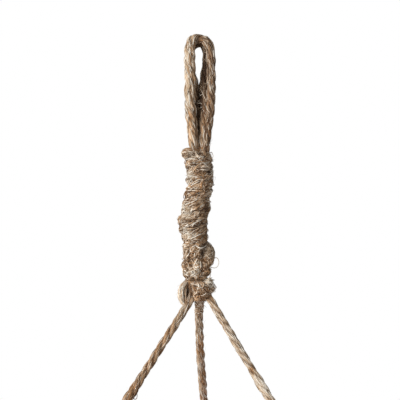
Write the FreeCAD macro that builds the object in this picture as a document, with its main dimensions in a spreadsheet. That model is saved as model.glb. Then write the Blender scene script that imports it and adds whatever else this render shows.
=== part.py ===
"""Hanging macrame planter: a jute cord hanger with a pot in its net.

Two jute cords are folded over to make the hanging loop. Below the loop one of
the four legs is wound round the other three (the neck wrap), tied off in two
lumpy knots, and the other three legs leave the crown knot as the suspension
cords. Each suspension cord ends in a rim knot outside the pot's rim. Two net
strands leave each rim knot, meet their neighbours in the side knots half way
down the pot, and run on under it to the base knot, the tassel wrap and the
tassel.

Row frame, millimetres: +Z up, +X right, -Y front. The origin is the inside top
of the hanging loop, where a hook bears.
"""
import FreeCAD
import Part
import Sketcher
import math
import os

os.makedirs("parts", exist_ok=True)
V = FreeCAD.Vector
doc = FreeCAD.newDocument("hanging_macrame_planter")

# ---------------------------------------------------------------- dimensions
sheet = doc.addObject("Spreadsheet::Sheet", "Dimensions")
DIMS = [
    ("cord_dia", 5.0, "diameter of the three-ply jute cord"),
    ("core_dia", 4.6, "cord squeezed inside the wrap"),
    ("loop_outer_r", 7.1, "centreline half width of the front loop cord"),
    ("loop_inner_r", 4.7, "centreline half width of the rear loop cord"),
    ("loop_outer_shift", 0.6, "middle of the front loop cord, X"),
    ("loop_inner_shift", -0.5, "middle of the rear loop cord, X"),
    ("loop_depth", 2.6, "each loop cord's distance from the mid plane"),
    ("loop_foot_z", -63.0, "where the loop legs enter the neck wrap"),
    ("neck_gap", 0.4, "gap at the twisting section"),
    ("wrap_dia", 17.5, "outside diameter of the neck wrap"),
    ("wrap_foot_z", -123.5, "lower end of the neck wrap"),
    ("hitch_h", 9.4, "height of the half hitch"),
    ("hitch_r", 8.6, "radius of the half hitch"),
    ("hitch_end_r", 6.6, "half hitch radius at its ends"),
    ("overhand_h", 9.6, "height of the overhand knot"),
    ("overhand_r", 9.0, "radius of the overhand knot"),
    ("overhand_end_r", 6.2, "overhand knot radius at its ends"),
    ("crown_r", 8.5, "radius of the crown knot"),
    ("crown_x", -1.6, "crown knot centre, X"),
    ("crown_z", -152.0, "crown knot centre, Z"),
    ("crown_clear", 8.9, "suspension cords start this far from the crown centre"),
    ("apex_z", -146.0, "height at which the suspension cords would meet"),
    ("spread", 0.70, "tangent of the suspension cords' angle to the vertical"),
    ("back_az", 85.9, "azimuth of the rear suspension cord, degrees from +X"),
    ("rim_knot_r", 7.2, "radius of a rim knot"),
    ("rim_knot_end_r", 3.4, "rim knot radius at its ends"),
    ("rim_knot_h", 18.0, "height of a rim knot"),
    ("rim_knot_pitch_r", 100.0, "rim knots' distance from the axis"),
    ("rim_knot_z", -289.0, "height of the rim knots"),
    ("side_knot_r", 6.6, "radius of a side knot"),
    ("side_knot_end_r", 4.0, "side knot radius at its ends"),
    ("side_knot_h", 15.0, "height of a side knot"),
    ("side_knot_pitch_r", 81.5, "side knots' distance from the axis"),
    ("side_knot_z", -345.0, "height of the side knots"),
    ("pot_top_z", -282.0, "top of the pot's rim"),
    ("pot_h", 120.0, "height of the pot"),
    ("pot_rim_r", 92.0, "outer radius of the pot's rim band"),
    ("pot_rim_h", 15.0, "height of the rim band"),
    ("pot_neck_r", 88.5, "outer radius just under the rim band"),
    ("pot_foot_r", 56.0, "outer radius at the foot of the wall"),
    ("pot_foot_h", 6.0, "height of the rounded foot"),
    ("pot_mouth_r", 85.0, "inner radius at the mouth"),
    ("pot_well_r", 49.5, "inner radius at the floor"),
    ("pot_floor", 7.5, "thickness of the floor"),
    ("base_knot_r", 9.0, "radius of the base knot"),
    ("base_clear", 9.4, "lower strands stop this far from the base knot's centre"),
    ("base_knot_z", -418.0, "height of the base knot's centre"),
    ("tassel_wrap_z", -447.0, "lower end of the tassel wrap"),
    ("tassel_wrap_h", 19.4, "height of the tassel wrap"),
    ("tassel_wrap_r", 8.9, "radius of the tassel wrap"),
    ("tassel_wrap_end_r", 7.9, "tassel wrap radius at its ends"),
    ("tassel_ring_r", 5.25, "radius of the ring of tassel strands"),
]
for i, (alias, value, note) in enumerate(DIMS, start=1):
    sheet.set("A%d" % i, note)
    sheet.set("B%d" % i, str(value))
    sheet.setAlias("B%d" % i, alias)
doc.recompute()


def dim(alias):
    """A driving dimension, read from the sheet."""
    return float(getattr(sheet, alias))


CORD = dim("cord_dia")
made = []  # (node name, document object)


def keep(obj, label):
    obj.Label = label
    made.append((label, obj))
    return obj


# ---------------------------------------------------------------- routes
def cyl(r, azimuth, z):
    a = math.radians(azimuth)
    return V(r * math.cos(a), r * math.sin(a), z)


def rounded(points, name):
    """Straight runs joined by tangent arcs, as edges. Each arc is as large as its two runs allow."""
    edges, radii, start = [], [], points[0]
    for a, b, c in zip(points, points[1:], points[2:]):
        u, w = (b - a), (c - b)
        run = min(u.Length, w.Length)
        u, w = V(u).normalize(), V(w).normalize()
        half = u.getAngle(w) / 2
        cut = 0.45 * run
        p, q = b - u * cut, b + w * cut
        radius = cut / math.tan(half)
        bisect = (w - u).normalize()
        mid = b + bisect * (radius / math.cos(half) - radius)
        if (p - start).Length > 1e-6:
            edges.append(Part.LineSegment(start, p).toShape())
        edges.append(Part.Arc(p, mid, q).toShape())
        radii.append(radius)
        start = q
    edges.append(Part.LineSegment(start, points[-1]).toShape())
    length = sum(e.Length for e in edges)
    if radii:
        print("%-28s %6.1f mm, radii %s" % (name, length, " ".join("%.1f" % r for r in radii)))
    return edges, length


def tube(points, dia, name):
    """A round cord along a route of runs and arcs."""
    edges, length = rounded(points, name)
    wire = Part.Wire(edges)
    circle = Part.Wire([Part.Circle(points[0], points[1] - points[0], dia / 2).toShape()])
    solid = wire.makePipeShell([circle], True, False)
    expected = math.pi * dia * dia / 4 * length
    if abs(solid.Volume / expected - 1) > 0.01:
        raise RuntimeError("%s: volume %.1f, expected %.1f" % (name, solid.Volume, expected))
    return solid


def free_form(shape, label):
    f = doc.addObject("Part::Feature", label)
    if shape.ShapeType != "Solid" and len(shape.Solids) == 1:
        shape = shape.Solids[0]
    f.Shape = shape
    return keep(f, label)


# ---------------------------------------------------------------- Part Design helpers
def plane(body, role):
    return [f for f in body.Origin.OriginFeatures if f.Role == role][0]


def sketch_on(body, role, name):
    s = body.newObject("Sketcher::SketchObject", name)
    s.AttachmentSupport = [(plane(body, role), "")]
    s.MapMode = "FlatFace"
    return s


def pin_point(s, geo, pos, x, y):
    """Holds a vertex of a sketch at expressions x and y of the sheet, measured from the sketch's origin."""
    for kind, expr in (("DistanceX", x), ("DistanceY", y)):
        if expr == "0":
            on = -2 if kind == "DistanceX" else -1
            s.addConstraint(Sketcher.Constraint("PointOnObject", geo, pos, on))
        else:
            value = eval_expr(expr)
            n = s.addConstraint(Sketcher.Constraint(kind, -1, 1, geo, pos, value))
            s.setExpression("Constraints[%d]" % n, expr)


def eval_expr(expr):
    """The value of a sum of sheet cells such as 'Dimensions.pot_h - Dimensions.pot_floor'."""
    total, sign = 0.0, 1.0
    for word in expr.split():
        if word == "+":
            sign = 1.0
        elif word == "-":
            sign = -1.0
        else:
            parts = word.split("/")
            total += sign * dim(parts[0].split(".")[1]) / (float(parts[1]) if len(parts) > 1 else 1.0)
            sign = 1.0
    return total


def revolve(body, s):
    rev = body.newObject("PartDesign::Revolution", body.Name + "_turned")
    rev.Profile = s
    rev.ReferenceAxis = (s, ["V_Axis"])
    rev.Angle = 360.0
    body.Tip = rev
    return rev


def knot(label, key, centre):
    """A drawn-up knot: a barrel whose ends are flat and whose flank is one arc, stood on its own Z axis."""
    r, e, h = ("Dimensions.%s" % k for k in (key + "_r", key + "_end_r", key + "_h"))
    rv, ev, hv = dim(key + "_r"), dim(key + "_end_r"), dim(key + "_h")
    body = doc.addObject("PartDesign::Body", label + "_body")
    s = sketch_on(body, "XZ_Plane", label + "_profile")
    s.addGeometry(Part.LineSegment(V(0, 0, 0), V(ev, 0, 0)), False)
    s.addGeometry(Part.Arc(V(ev, 0, 0), V(rv, hv / 2, 0), V(ev, hv, 0)), False)
    s.addGeometry(Part.LineSegment(V(ev, hv, 0), V(0, hv, 0)), False)
    s.addGeometry(Part.LineSegment(V(0, hv, 0), V(0, 0, 0)), False)
    s.addConstraint(Sketcher.Constraint("Coincident", 0, 1, -1, 1))
    s.addConstraint(Sketcher.Constraint("Coincident", 0, 2, 1, 1))
    s.addConstraint(Sketcher.Constraint("Coincident", 1, 2, 2, 1))
    s.addConstraint(Sketcher.Constraint("Coincident", 2, 2, 3, 1))
    s.addConstraint(Sketcher.Constraint("Coincident", 3, 2, 0, 1))
    pin_point(s, 0, 2, e, "0")
    pin_point(s, 2, 1, e, h)
    s.addConstraint(Sketcher.Constraint("PointOnObject", 2, 2, -2))
    s.addConstraint(Sketcher.Constraint("Horizontal", 2))
    radius = ((hv / 2) ** 2 + (rv - ev) ** 2) / (2 * (rv - ev))
    n = s.addConstraint(Sketcher.Constraint("Radius", 1, radius))
    s.setExpression(
        "Constraints[%d]" % n,
        "((%s / 2) ^ 2 + (%s - %s) ^ 2) / (2 * (%s - %s))" % (h, r, e, r, e),
    )
    doc.recompute()
    revolve(body, s)
    body.Placement = FreeCAD.Placement(centre - V(0, 0, hv / 2), FreeCAD.Rotation())
    return keep(body, label)


def ball(label, key, centre):
    """A round knot that its neighbours pivot about: a half disc turned about its own Z axis."""
    rv = dim(key)
    body = doc.addObject("PartDesign::Body", label + "_body")
    s = sketch_on(body, "XZ_Plane", label + "_profile")
    s.addGeometry(Part.ArcOfCircle(Part.Circle(V(0, 0, 0), V(0, 0, 1), rv), -math.pi / 2, math.pi / 2), False)
    s.addGeometry(Part.LineSegment(V(0, rv, 0), V(0, -rv, 0)), False)
    s.addConstraint(Sketcher.Constraint("Coincident", 0, 3, -1, 1))
    s.addConstraint(Sketcher.Constraint("Coincident", 0, 2, 1, 1))
    s.addConstraint(Sketcher.Constraint("Coincident", 1, 2, 0, 1))
    s.addConstraint(Sketcher.Constraint("PointOnObject", 0, 1, -2))
    s.addConstraint(Sketcher.Constraint("PointOnObject", 0, 2, -2))
    n = s.addConstraint(Sketcher.Constraint("Radius", 0, rv))
    s.setExpression("Constraints[%d]" % n, "Dimensions.%s" % key)
    doc.recompute()
    revolve(body, s)
    body.Placement = FreeCAD.Placement(centre, FreeCAD.Rotation())
    return keep(body, label)


def planar_cord(label, points, key, origin, turn=None, listed=True):
    """A cord whose route lies in its body's XZ plane and sets off along +Z from the body's origin."""
    body = doc.addObject("PartDesign::Body", label + "_body")
    path = sketch_on(body, "XZ_Plane", label + "_route")
    edges, length = rounded([V(p[0], p[1], 0) for p in points], label)
    for e in edges:
        c = e.Curve
        if c.TypeId == "Part::GeomLine":
            path.addGeometry(Part.LineSegment(e.Vertexes[0].Point, e.Vertexes[-1].Point), False)
        else:
            mid = e.valueAt((e.FirstParameter + e.LastParameter) / 2)
            path.addGeometry(Part.Arc(e.Vertexes[0].Point, mid, e.Vertexes[-1].Point), False)
    path.addConstraint(Sketcher.Constraint("Coincident", 0, 1, -1, 1))
    profile = sketch_on(body, "XY_Plane", label + "_section")
    profile.addGeometry(Part.Circle(V(0, 0, 0), V(0, 0, 1), dim(key) / 2), False)
    profile.addConstraint(Sketcher.Constraint("Coincident", 0, 3, -1, 1))
    n = profile.addConstraint(Sketcher.Constraint("Diameter", 0, dim(key)))
    profile.setExpression("Constraints[%d]" % n, "Dimensions.%s" % key)
    doc.recompute()
    pipe = body.newObject("PartDesign::AdditivePipe", label + "_pipe")
    pipe.Profile = profile
    pipe.Spine = path
    pipe.Mode = "Standard"
    pipe.Transition = "Right corner"
    body.Tip = pipe
    body.Placement = FreeCAD.Placement(origin, turn or FreeCAD.Rotation())
    doc.recompute()
    expected = math.pi * dim(key) ** 2 / 4 * length
    if abs(body.Shape.Volume / expected - 1) > 0.01:
        raise RuntimeError("%s: volume %.1f, expected %.1f" % (label, body.Shape.Volume, expected))
    return keep(body, label) if listed else body


# ---------------------------------------------------------------- hanging loop
# Both cords are drawn as upside-down U routes from the right leg's foot. The
# rear cord closes the eye under the hook; the legs then run side by side.
FOOT = dim("loop_foot_z")
RO, RI, DEPTH = dim("loop_outer_r"), dim("loop_inner_r"), dim("loop_depth")
SO, SI = dim("loop_outer_shift"), dim("loop_inner_shift")
OUTER = [
    (3.7, FOOT), (3.7, -53.0), (6.0, -40.0), (SO + RO - 0.1, -24.0), (SO + RO, -9.0), (SO + RO - 0.8, 6.9),
    (SO - RO - 0.3, 6.9), (SO - RO, -10.0), (SO - RO + 0.2, -26.0), (-4.6, -42.0), (-3.7, -54.0), (-3.7, FOOT),
]
INNER = [
    (0.7, FOOT), (0.7, -50.0), (1.3, -36.0), (1.9, -24.0), (SI + RI, -11.0), (SI + RI, 2.5),
    (SI - RI, 2.5), (SI - RI, -11.0), (-3.4, -24.0), (-3.9, -38.0), (-4.4, -50.0), (-4.4, FOOT),
]
for label, route, y in (("loop_cord_front", OUTER, -DEPTH), ("loop_cord_rear", INNER, DEPTH)):
    x0 = route[0][0]
    planar_cord(label, [(x - x0, z - FOOT) for x, z in route], "cord_dia", V(x0, y, FOOT))

# ---------------------------------------------------------------- neck
# Three legs run down inside the wrap; the fourth is the wrap.
NECK_TOP = FOOT - dim("neck_gap")
NECK = [(0.0, NECK_TOP), (0.0, -84.0), (-3.0, -104.0), (-3.0, dim("wrap_foot_z"))]
LOCAL = [(x, NECK_TOP - z) for x, z in NECK]  # the body's +Z points down the neck
DOWN = FreeCAD.Rotation(V(1, 0, 0), 180)
blank = planar_cord("neck_wrap_blank", LOCAL, "wrap_dia", V(0, 0, NECK_TOP), DOWN, listed=False)
cores = []
for label, azimuth in (("core_leg_left", 205.9), ("core_leg_right", 325.9), ("core_leg_rear", 85.9)):
    at = cyl(dim("core_dia") / math.sqrt(3) + 0.05, azimuth, NECK_TOP)
    cores.append(planar_cord(label, LOCAL, "core_dia", at, DOWN))
inside = doc.addObject("Part::MultiFuse", "neck_core")
inside.Shapes = cores
wrap = doc.addObject("Part::Cut", "neck_wrap_cut")
wrap.Base, wrap.Tool = blank, inside
keep(wrap, "neck_wrap")
hitch_z = dim("wrap_foot_z") - dim("hitch_h") / 2
knot("half_hitch", "hitch", V(-1.4, 0, hitch_z))
overhand_z = hitch_z - dim("hitch_h") / 2 - dim("overhand_h") / 2
knot("overhand_knot", "overhand", V(-1.9, 0, overhand_z))

# ---------------------------------------------------------------- crown and suspension cords
CROWN = V(dim("crown_x"), 0, dim("crown_z"))
ball("crown_knot", "crown_r", CROWN)
AZ = {"rear": dim("back_az"), "left": dim("back_az") + 120, "right": dim("back_az") + 240}
RIM = {k: cyl(dim("rim_knot_pitch_r"), a, dim("rim_knot_z")) for k, a in AZ.items()}
RIM_KNOT = {k: knot("rim_knot_" + k, "rim_knot", p) for k, p in RIM.items()}
SIDE = {k: cyl(dim("side_knot_pitch_r"), AZ[a] + 60, dim("side_knot_z"))
        for k, a in (("front", "left"), ("rear_left", "rear"), ("rear_right", "right"))}
SIDE_AZ = {"front": AZ["left"] + 60, "rear_left": AZ["rear"] + 60, "rear_right": AZ["right"] + 60}
SIDE_KNOT = {k: knot("side_knot_" + k, "side_knot", p) for k, p in SIDE.items()}
doc.recompute()

# Suspension cords: nearly straight, because the pot's weight keeps them taut.
# Each row is (share of the way down, sideways shift, shift away from the axis).
TAUT = {
    "left": ((0.0, 0.0, 0.0), (0.20, 0.5, 0.3), (0.47, -0.4, 0.0), (0.76, 0.3, -0.4), (1.0, 0.0, 0.0)),
    "right": ((0.0, 0.0, 0.0), (0.22, -0.5, 0.4), (0.50, 0.2, -0.2), (0.74, -0.4, 0.3), (1.0, 0.0, 0.0)),
    "rear": ((0.0, 0.0, 0.0), (0.19, 1.3, -1.2), (0.46, 0.9, -0.4), (0.75, -0.3, 0.3), (1.0, 0.0, 0.0)),
}
HEAD = {"left": V(-4.0, -1.2, -155.0), "right": V(4.6, -1.6, -153.6), "rear": V(-0.4, 2.4, -155.5)}
crown_clear = Part.makeSphere(dim("crown_clear"), CROWN)
for k in ("left", "right", "rear"):
    a = math.radians(AZ[k])
    side, out = V(-math.sin(a), math.cos(a), 0), V(math.cos(a), math.sin(a), 0)
    route = [HEAD[k] + (RIM[k] - HEAD[k]) * f + side * s + out * o for f, s, o in TAUT[k]]
    solid = tube(route, CORD, "suspension_cord_" + k)
    free_form(solid.cut([crown_clear, RIM_KNOT[k].Shape]), "suspension_cord_" + k)

# ---------------------------------------------------------------- pot
pot = doc.addObject("PartDesign::Body", "pot_body")
s = sketch_on(pot, "XZ_Plane", "pot_profile")
D = "Dimensions."
corners = [
    ("0", "0"),
    (D + "pot_foot_r - " + D + "pot_foot_h", "0"),
    (D + "pot_foot_r", D + "pot_foot_h"),
    (D + "pot_neck_r", D + "pot_h - " + D + "pot_rim_h"),
    (D + "pot_rim_r", D + "pot_h - " + D + "pot_rim_h"),
    (D + "pot_rim_r", D + "pot_h"),
    (D + "pot_mouth_r", D + "pot_h"),
    (D + "pot_well_r", D + "pot_floor"),
    ("0", D + "pot_floor"),
]
xy = [tuple(0.0 if e == "0" else eval_expr(e) for e in c) for c in corners]
for i, (x, y) in enumerate(xy):
    x2, y2 = xy[(i + 1) % len(xy)]
    s.addGeometry(Part.LineSegment(V(x, y, 0), V(x2, y2, 0)), False)
for i in range(len(xy)):
    s.addConstraint(Sketcher.Constraint("Coincident", i, 2, (i + 1) % len(xy), 1))
s.addConstraint(Sketcher.Constraint("Coincident", 0, 1, -1, 1))
for i, (x, y) in enumerate(corners):
    if i == 0:
        continue
    pin_point(s, i, 1, x, y)
doc.recompute()
turned = revolve(pot, s)
doc.recompute()
# Soften the rim's two edges, the shoulder under the band and the inside corner.
soft = []
for i, e in enumerate(turned.Shape.Edges, start=1):
    if e.Curve.TypeId != "Part::GeomCircle":
        continue
    c, r = e.Curve.Center, e.Curve.Radius
    if abs(c.z - dim("pot_h")) < 0.1 or (abs(r - dim("pot_rim_r")) < 0.1):
        soft.append("Edge%d" % i)
fillet = pot.newObject("PartDesign::Fillet", "pot_rim_rounds")
fillet.Base = (turned, soft)
fillet.Radius = 2.0
pot.Tip = fillet
doc.recompute()
well = [
    "Edge%d" % i
    for i, e in enumerate(fillet.Shape.Edges, start=1)
    if e.Curve.TypeId == "Part::GeomCircle" and abs(e.Curve.Radius - dim("pot_well_r")) < 0.1
]
inner = pot.newObject("PartDesign::Fillet", "pot_well_round")
inner.Base = (fillet, well)
inner.Radius = 8.0
pot.Tip = inner
pot.Placement = FreeCAD.Placement(V(0, 0, dim("pot_top_z") - dim("pot_h")), FreeCAD.Rotation())
keep(pot, "pot")

# ---------------------------------------------------------------- net
# Rows are (share of the 60 degrees between a rim knot and a side knot, radius, z).
UPPER = ((0.0, 100.0, -289.0), (0.20, 92.6, -302.5), (0.43, 86.8, -316.0), (0.67, 82.0, -331.5), (0.87, 79.2, -340.5), (1.0, 81.5, -345.0))
# Small differences from strand to strand: (z shift of the inner points, share shift).
DRIFT = {
    ("left", "front"): (0.6, 0.00), ("left", "rear_left"): (-0.5, 0.01),
    ("right", "front"): (-0.4, 0.01), ("right", "rear_right"): (0.7, -0.01),
    ("rear", "rear_left"): (0.3, 0.00), ("rear", "rear_right"): (-0.7, 0.01),
}
for (k, n), (dz, df) in DRIFT.items():
    turn = 60.0 if (SIDE_AZ[n] - AZ[k]) % 360 < 90 else -60.0
    route = [RIM[k]]
    route += [cyl(r, AZ[k] + turn * (f + df), z + dz) for f, r, z in UPPER[1:-1]]
    route += [SIDE[n]]
    label = "upper_strand_%s_to_%s" % (k, n)
    solid = tube(route, CORD, label)
    free_form(solid.cut([RIM_KNOT[k].Shape, SIDE_KNOT[n].Shape]), label)

# Rows are (degrees either side of the side knot, radius, z).
LOWER = ((1.95, 81.5, -343.0), (2.4, 79.5, -354.0), (8.0, 71.0, -369.0), (16.0, 64.6, -385.0), (20.5, 60.7, -399.5), (21.5, 53.6, -405.9), (22.5, 30.0, -409.0), (24.0, 5.0, -416.0))
BASE = V(0, 0, dim("base_knot_z"))
base_clear = Part.makeSphere(dim("base_clear"), BASE)
for n in ("front", "rear_left", "rear_right"):
    for hand, sign, dz in (("left", -1, 0.0), ("right", 1, 0.8)):
        route = [cyl(r, SIDE_AZ[n] + sign * d, z + (dz if 0 < i < 4 else 0)) for i, (d, r, z) in enumerate(LOWER)]
        label = "lower_strand_%s_%s" % (n, hand)
        solid = tube(route, CORD, label)
        free_form(solid.cut([SIDE_KNOT[n].Shape, base_clear]), label)

# ---------------------------------------------------------------- base and tassel
ball("base_knot", "base_knot_r", BASE)
wrap_z = dim("tassel_wrap_z")
TASSEL_WRAP = knot("tassel_wrap", "tassel_wrap", V(0, 0, wrap_z + dim("tassel_wrap_h") / 2))
doc.recompute()
# Each strand: (azimuth, how far its end swings out, length, sideways bend).
STRANDS = ((15.0, 8.5, 92.0, 2.0), (75.0, 6.0, 86.0, -2.5), (135.0, 9.5, 97.0, 1.5), (195.0, 7.0, 89.0, -1.5), (255.0, 8.0, 95.0, 2.5), (315.0, 10.0, 84.0, -2.0))
RING = dim("tassel_ring_r")
for i, (azimuth, swing, long, bend) in enumerate(STRANDS, start=1):
    a = math.radians(azimuth)
    out, side = V(math.cos(a), math.sin(a), 0), V(-math.sin(a), math.cos(a), 0)
    route = [
        out * (RING + swing * o) + side * (bend * b) + V(0, 0, wrap_z - long * f)
        for f, o, b in ((0.0, 0.0, 0.0), (0.22, 0.04, 0.1), (0.50, 0.42, 0.75), (0.78, 0.80, 0.9), (1.0, 1.0, 0.35))
    ]
    free_form(tube(route, CORD, "tassel_strand_%d" % i).cut([TASSEL_WRAP.Shape]), "tassel_strand_%d" % i)
route = [V(0, 0, wrap_z), V(0.3, -0.2, wrap_z - 20), V(-0.9, 0.6, wrap_z - 45), V(-0.4, -0.6, wrap_z - 70), V(0.8, -0.4, wrap_z - 90)]
free_form(tube(route, CORD, "tassel_strand_7").cut([TASSEL_WRAP.Shape]), "tassel_strand_7")

# ---------------------------------------------------------------- checks and export
doc.recompute()
bad = [o.Name for o in doc.Objects if "Invalid" in o.State or "Error" in o.State]
if bad:
    raise RuntimeError("failed objects: %s" % bad)
for label, obj in made:
    shape = obj.Shape
    if shape.isNull() or not shape.isValid() or not shape.Solids or shape.Volume <= 0:
        raise RuntimeError("%s has no valid solid" % label)
    if len(shape.Solids) != 1:
        raise RuntimeError("%s has %d solids" % (label, len(shape.Solids)))
for old in os.listdir("parts"):
    if old.endswith(".step"):
        os.remove(os.path.join("parts", old))
for label, obj in made:
    obj.Shape.exportStep("parts/%s.step" % label)
print("%d nodes" % len(made))
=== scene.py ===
import math

import bpy
import numpy as np
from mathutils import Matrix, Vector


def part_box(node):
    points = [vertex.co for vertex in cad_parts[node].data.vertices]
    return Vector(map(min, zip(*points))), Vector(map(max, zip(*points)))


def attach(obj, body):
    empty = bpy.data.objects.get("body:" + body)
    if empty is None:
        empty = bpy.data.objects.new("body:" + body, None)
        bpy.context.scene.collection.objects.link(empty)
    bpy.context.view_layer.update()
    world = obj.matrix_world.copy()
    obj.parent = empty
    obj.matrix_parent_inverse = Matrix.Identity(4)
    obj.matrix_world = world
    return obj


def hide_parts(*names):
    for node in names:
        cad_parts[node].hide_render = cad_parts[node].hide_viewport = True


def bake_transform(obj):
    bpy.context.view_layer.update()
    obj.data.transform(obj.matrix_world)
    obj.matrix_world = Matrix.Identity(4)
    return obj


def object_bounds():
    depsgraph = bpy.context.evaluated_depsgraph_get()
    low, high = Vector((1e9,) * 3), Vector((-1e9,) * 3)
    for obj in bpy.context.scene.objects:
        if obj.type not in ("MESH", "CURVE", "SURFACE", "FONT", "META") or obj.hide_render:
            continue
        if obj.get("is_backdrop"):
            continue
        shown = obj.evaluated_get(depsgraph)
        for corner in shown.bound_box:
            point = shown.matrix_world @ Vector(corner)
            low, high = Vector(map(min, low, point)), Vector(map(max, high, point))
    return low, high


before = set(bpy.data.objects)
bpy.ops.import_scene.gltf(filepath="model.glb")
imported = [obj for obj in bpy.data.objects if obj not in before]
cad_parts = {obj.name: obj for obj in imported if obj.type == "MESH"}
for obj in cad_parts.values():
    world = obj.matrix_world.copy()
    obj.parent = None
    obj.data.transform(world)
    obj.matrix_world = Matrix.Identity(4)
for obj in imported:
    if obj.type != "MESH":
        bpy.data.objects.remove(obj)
CAD_BOX = [list(map(float, c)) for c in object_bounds()]

# ---------------------------------------------------------------- camera
MM = 0.001
cam_data = bpy.data.cameras.new("camera")
cam = bpy.data.objects.new("camera", cam_data)
bpy.context.scene.collection.objects.link(cam)
bpy.context.scene.camera = cam
CAM_Y = -1.25
cam.location = (0.0003, CAM_Y, -0.0950)
cam.rotation_euler = (math.radians(90), 0, 0)
cam_data.sensor_fit = "HORIZONTAL"
cam_data.sensor_width = 36.0
cam_data.lens = 36.0 * abs(CAM_Y) / 0.250
cam_data.clip_end = 50.0
bpy.context.scene.view_settings.view_transform = "Standard"
bpy.context.scene.view_settings.look = "None"

# ---------------------------------------------------------------- small maths
D = 0.005            # the cord's diameter
LAY = 0.0240         # length of one full turn of its three strands
TAU = 2 * math.pi
ROOT, STRAND = 0.205, 0.315   # a strand's distance from the cord's middle and its radius, in cord diameters


def unit(v):
    n = np.linalg.norm(v, axis=-1, keepdims=True)
    return v / np.maximum(n, 1e-12)


def spline_line(points):
    """The smooth line of a NURBS curve that has these control points, in metres."""
    cu = bpy.data.curves.new("route", "CURVE")
    cu.dimensions = "3D"
    cu.resolution_u = 24
    sp = cu.splines.new("NURBS")
    sp.points.add(len(points) - 1)
    for p, q in zip(sp.points, points):
        p.co = (q[0], q[1], q[2], 1.0)
    sp.order_u = 3
    sp.use_endpoint_u = True
    ob = bpy.data.objects.new("route", cu)
    bpy.context.scene.collection.objects.link(ob)
    bpy.context.view_layer.update()
    me = bpy.data.meshes.new_from_object(ob)
    line = np.array([v.co for v in me.vertices], float)
    bpy.data.objects.remove(ob)
    bpy.data.curves.remove(cu)
    bpy.data.meshes.remove(me)
    return line


def along(line):
    return np.concatenate([[0.0], np.cumsum(np.linalg.norm(np.diff(line, axis=0), axis=1))])


def even(line, step):
    s = along(line)
    n = max(8, int(round(s[-1] / step)) + 1)
    t = np.linspace(0, s[-1], n)
    return np.stack([np.interp(t, s, line[:, i]) for i in range(3)], axis=1)


def smooth(line, times=2):
    for _ in range(times):
        line[1:-1] = 0.25 * line[:-2] + 0.5 * line[1:-1] + 0.25 * line[2:]
    return line


def carried(line, first=None):
    """Tangents and a frame carried along the line without twist."""
    t = unit(np.gradient(line, axis=0))
    n = np.zeros_like(t)
    a = np.array([0.0, -1.0, 0.0]) if first is None else np.array(first, float)
    if abs(np.dot(a, t[0])) > 0.9:
        a = np.array([1.0, 0.0, 0.0])
    n[0] = unit(a - np.dot(a, t[0]) * t[0])
    for i in range(1, len(t)):
        v = n[i - 1] - np.dot(n[i - 1], t[i]) * t[i]
        n[i] = v / max(np.linalg.norm(v), 1e-12)
    return t, n, np.cross(t, n)


class Ripple:
    """Smooth random values along a length and round an angle."""

    def __init__(self, rng, length, step, around):
        self.step, self.around = step, around
        self.table = rng.uniform(-1, 1, (int(length / step) + 4, around))

    def __call__(self, s, a):
        u = np.clip(s / self.step, 0, self.table.shape[0] - 2.001)
        v = (a / TAU * self.around) % self.around
        i, j = np.floor(u).astype(int), np.floor(v).astype(int)
        fu, fv = u - i, v - j
        fu, fv = fu * fu * (3 - 2 * fu), fv * fv * (3 - 2 * fv)
        j0, j1 = j % self.around, (j + 1) % self.around
        t = self.table
        return (t[i, j0] * (1 - fu) * (1 - fv) + t[i + 1, j0] * fu * (1 - fv)
                + t[i, j1] * (1 - fu) * fv + t[i + 1, j1] * fu * fv)


def wander(rng, length, step, n):
    """Smooth random values at n places along a length."""
    k = int(length / step) + 4
    table = rng.uniform(-1, 1, k)
    u = np.linspace(0, k - 2.001, n)
    i = np.floor(u).astype(int)
    f = u - i
    f = f * f * (3 - 2 * f)
    return table[i] * (1 - f) + table[i + 1] * f


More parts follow.
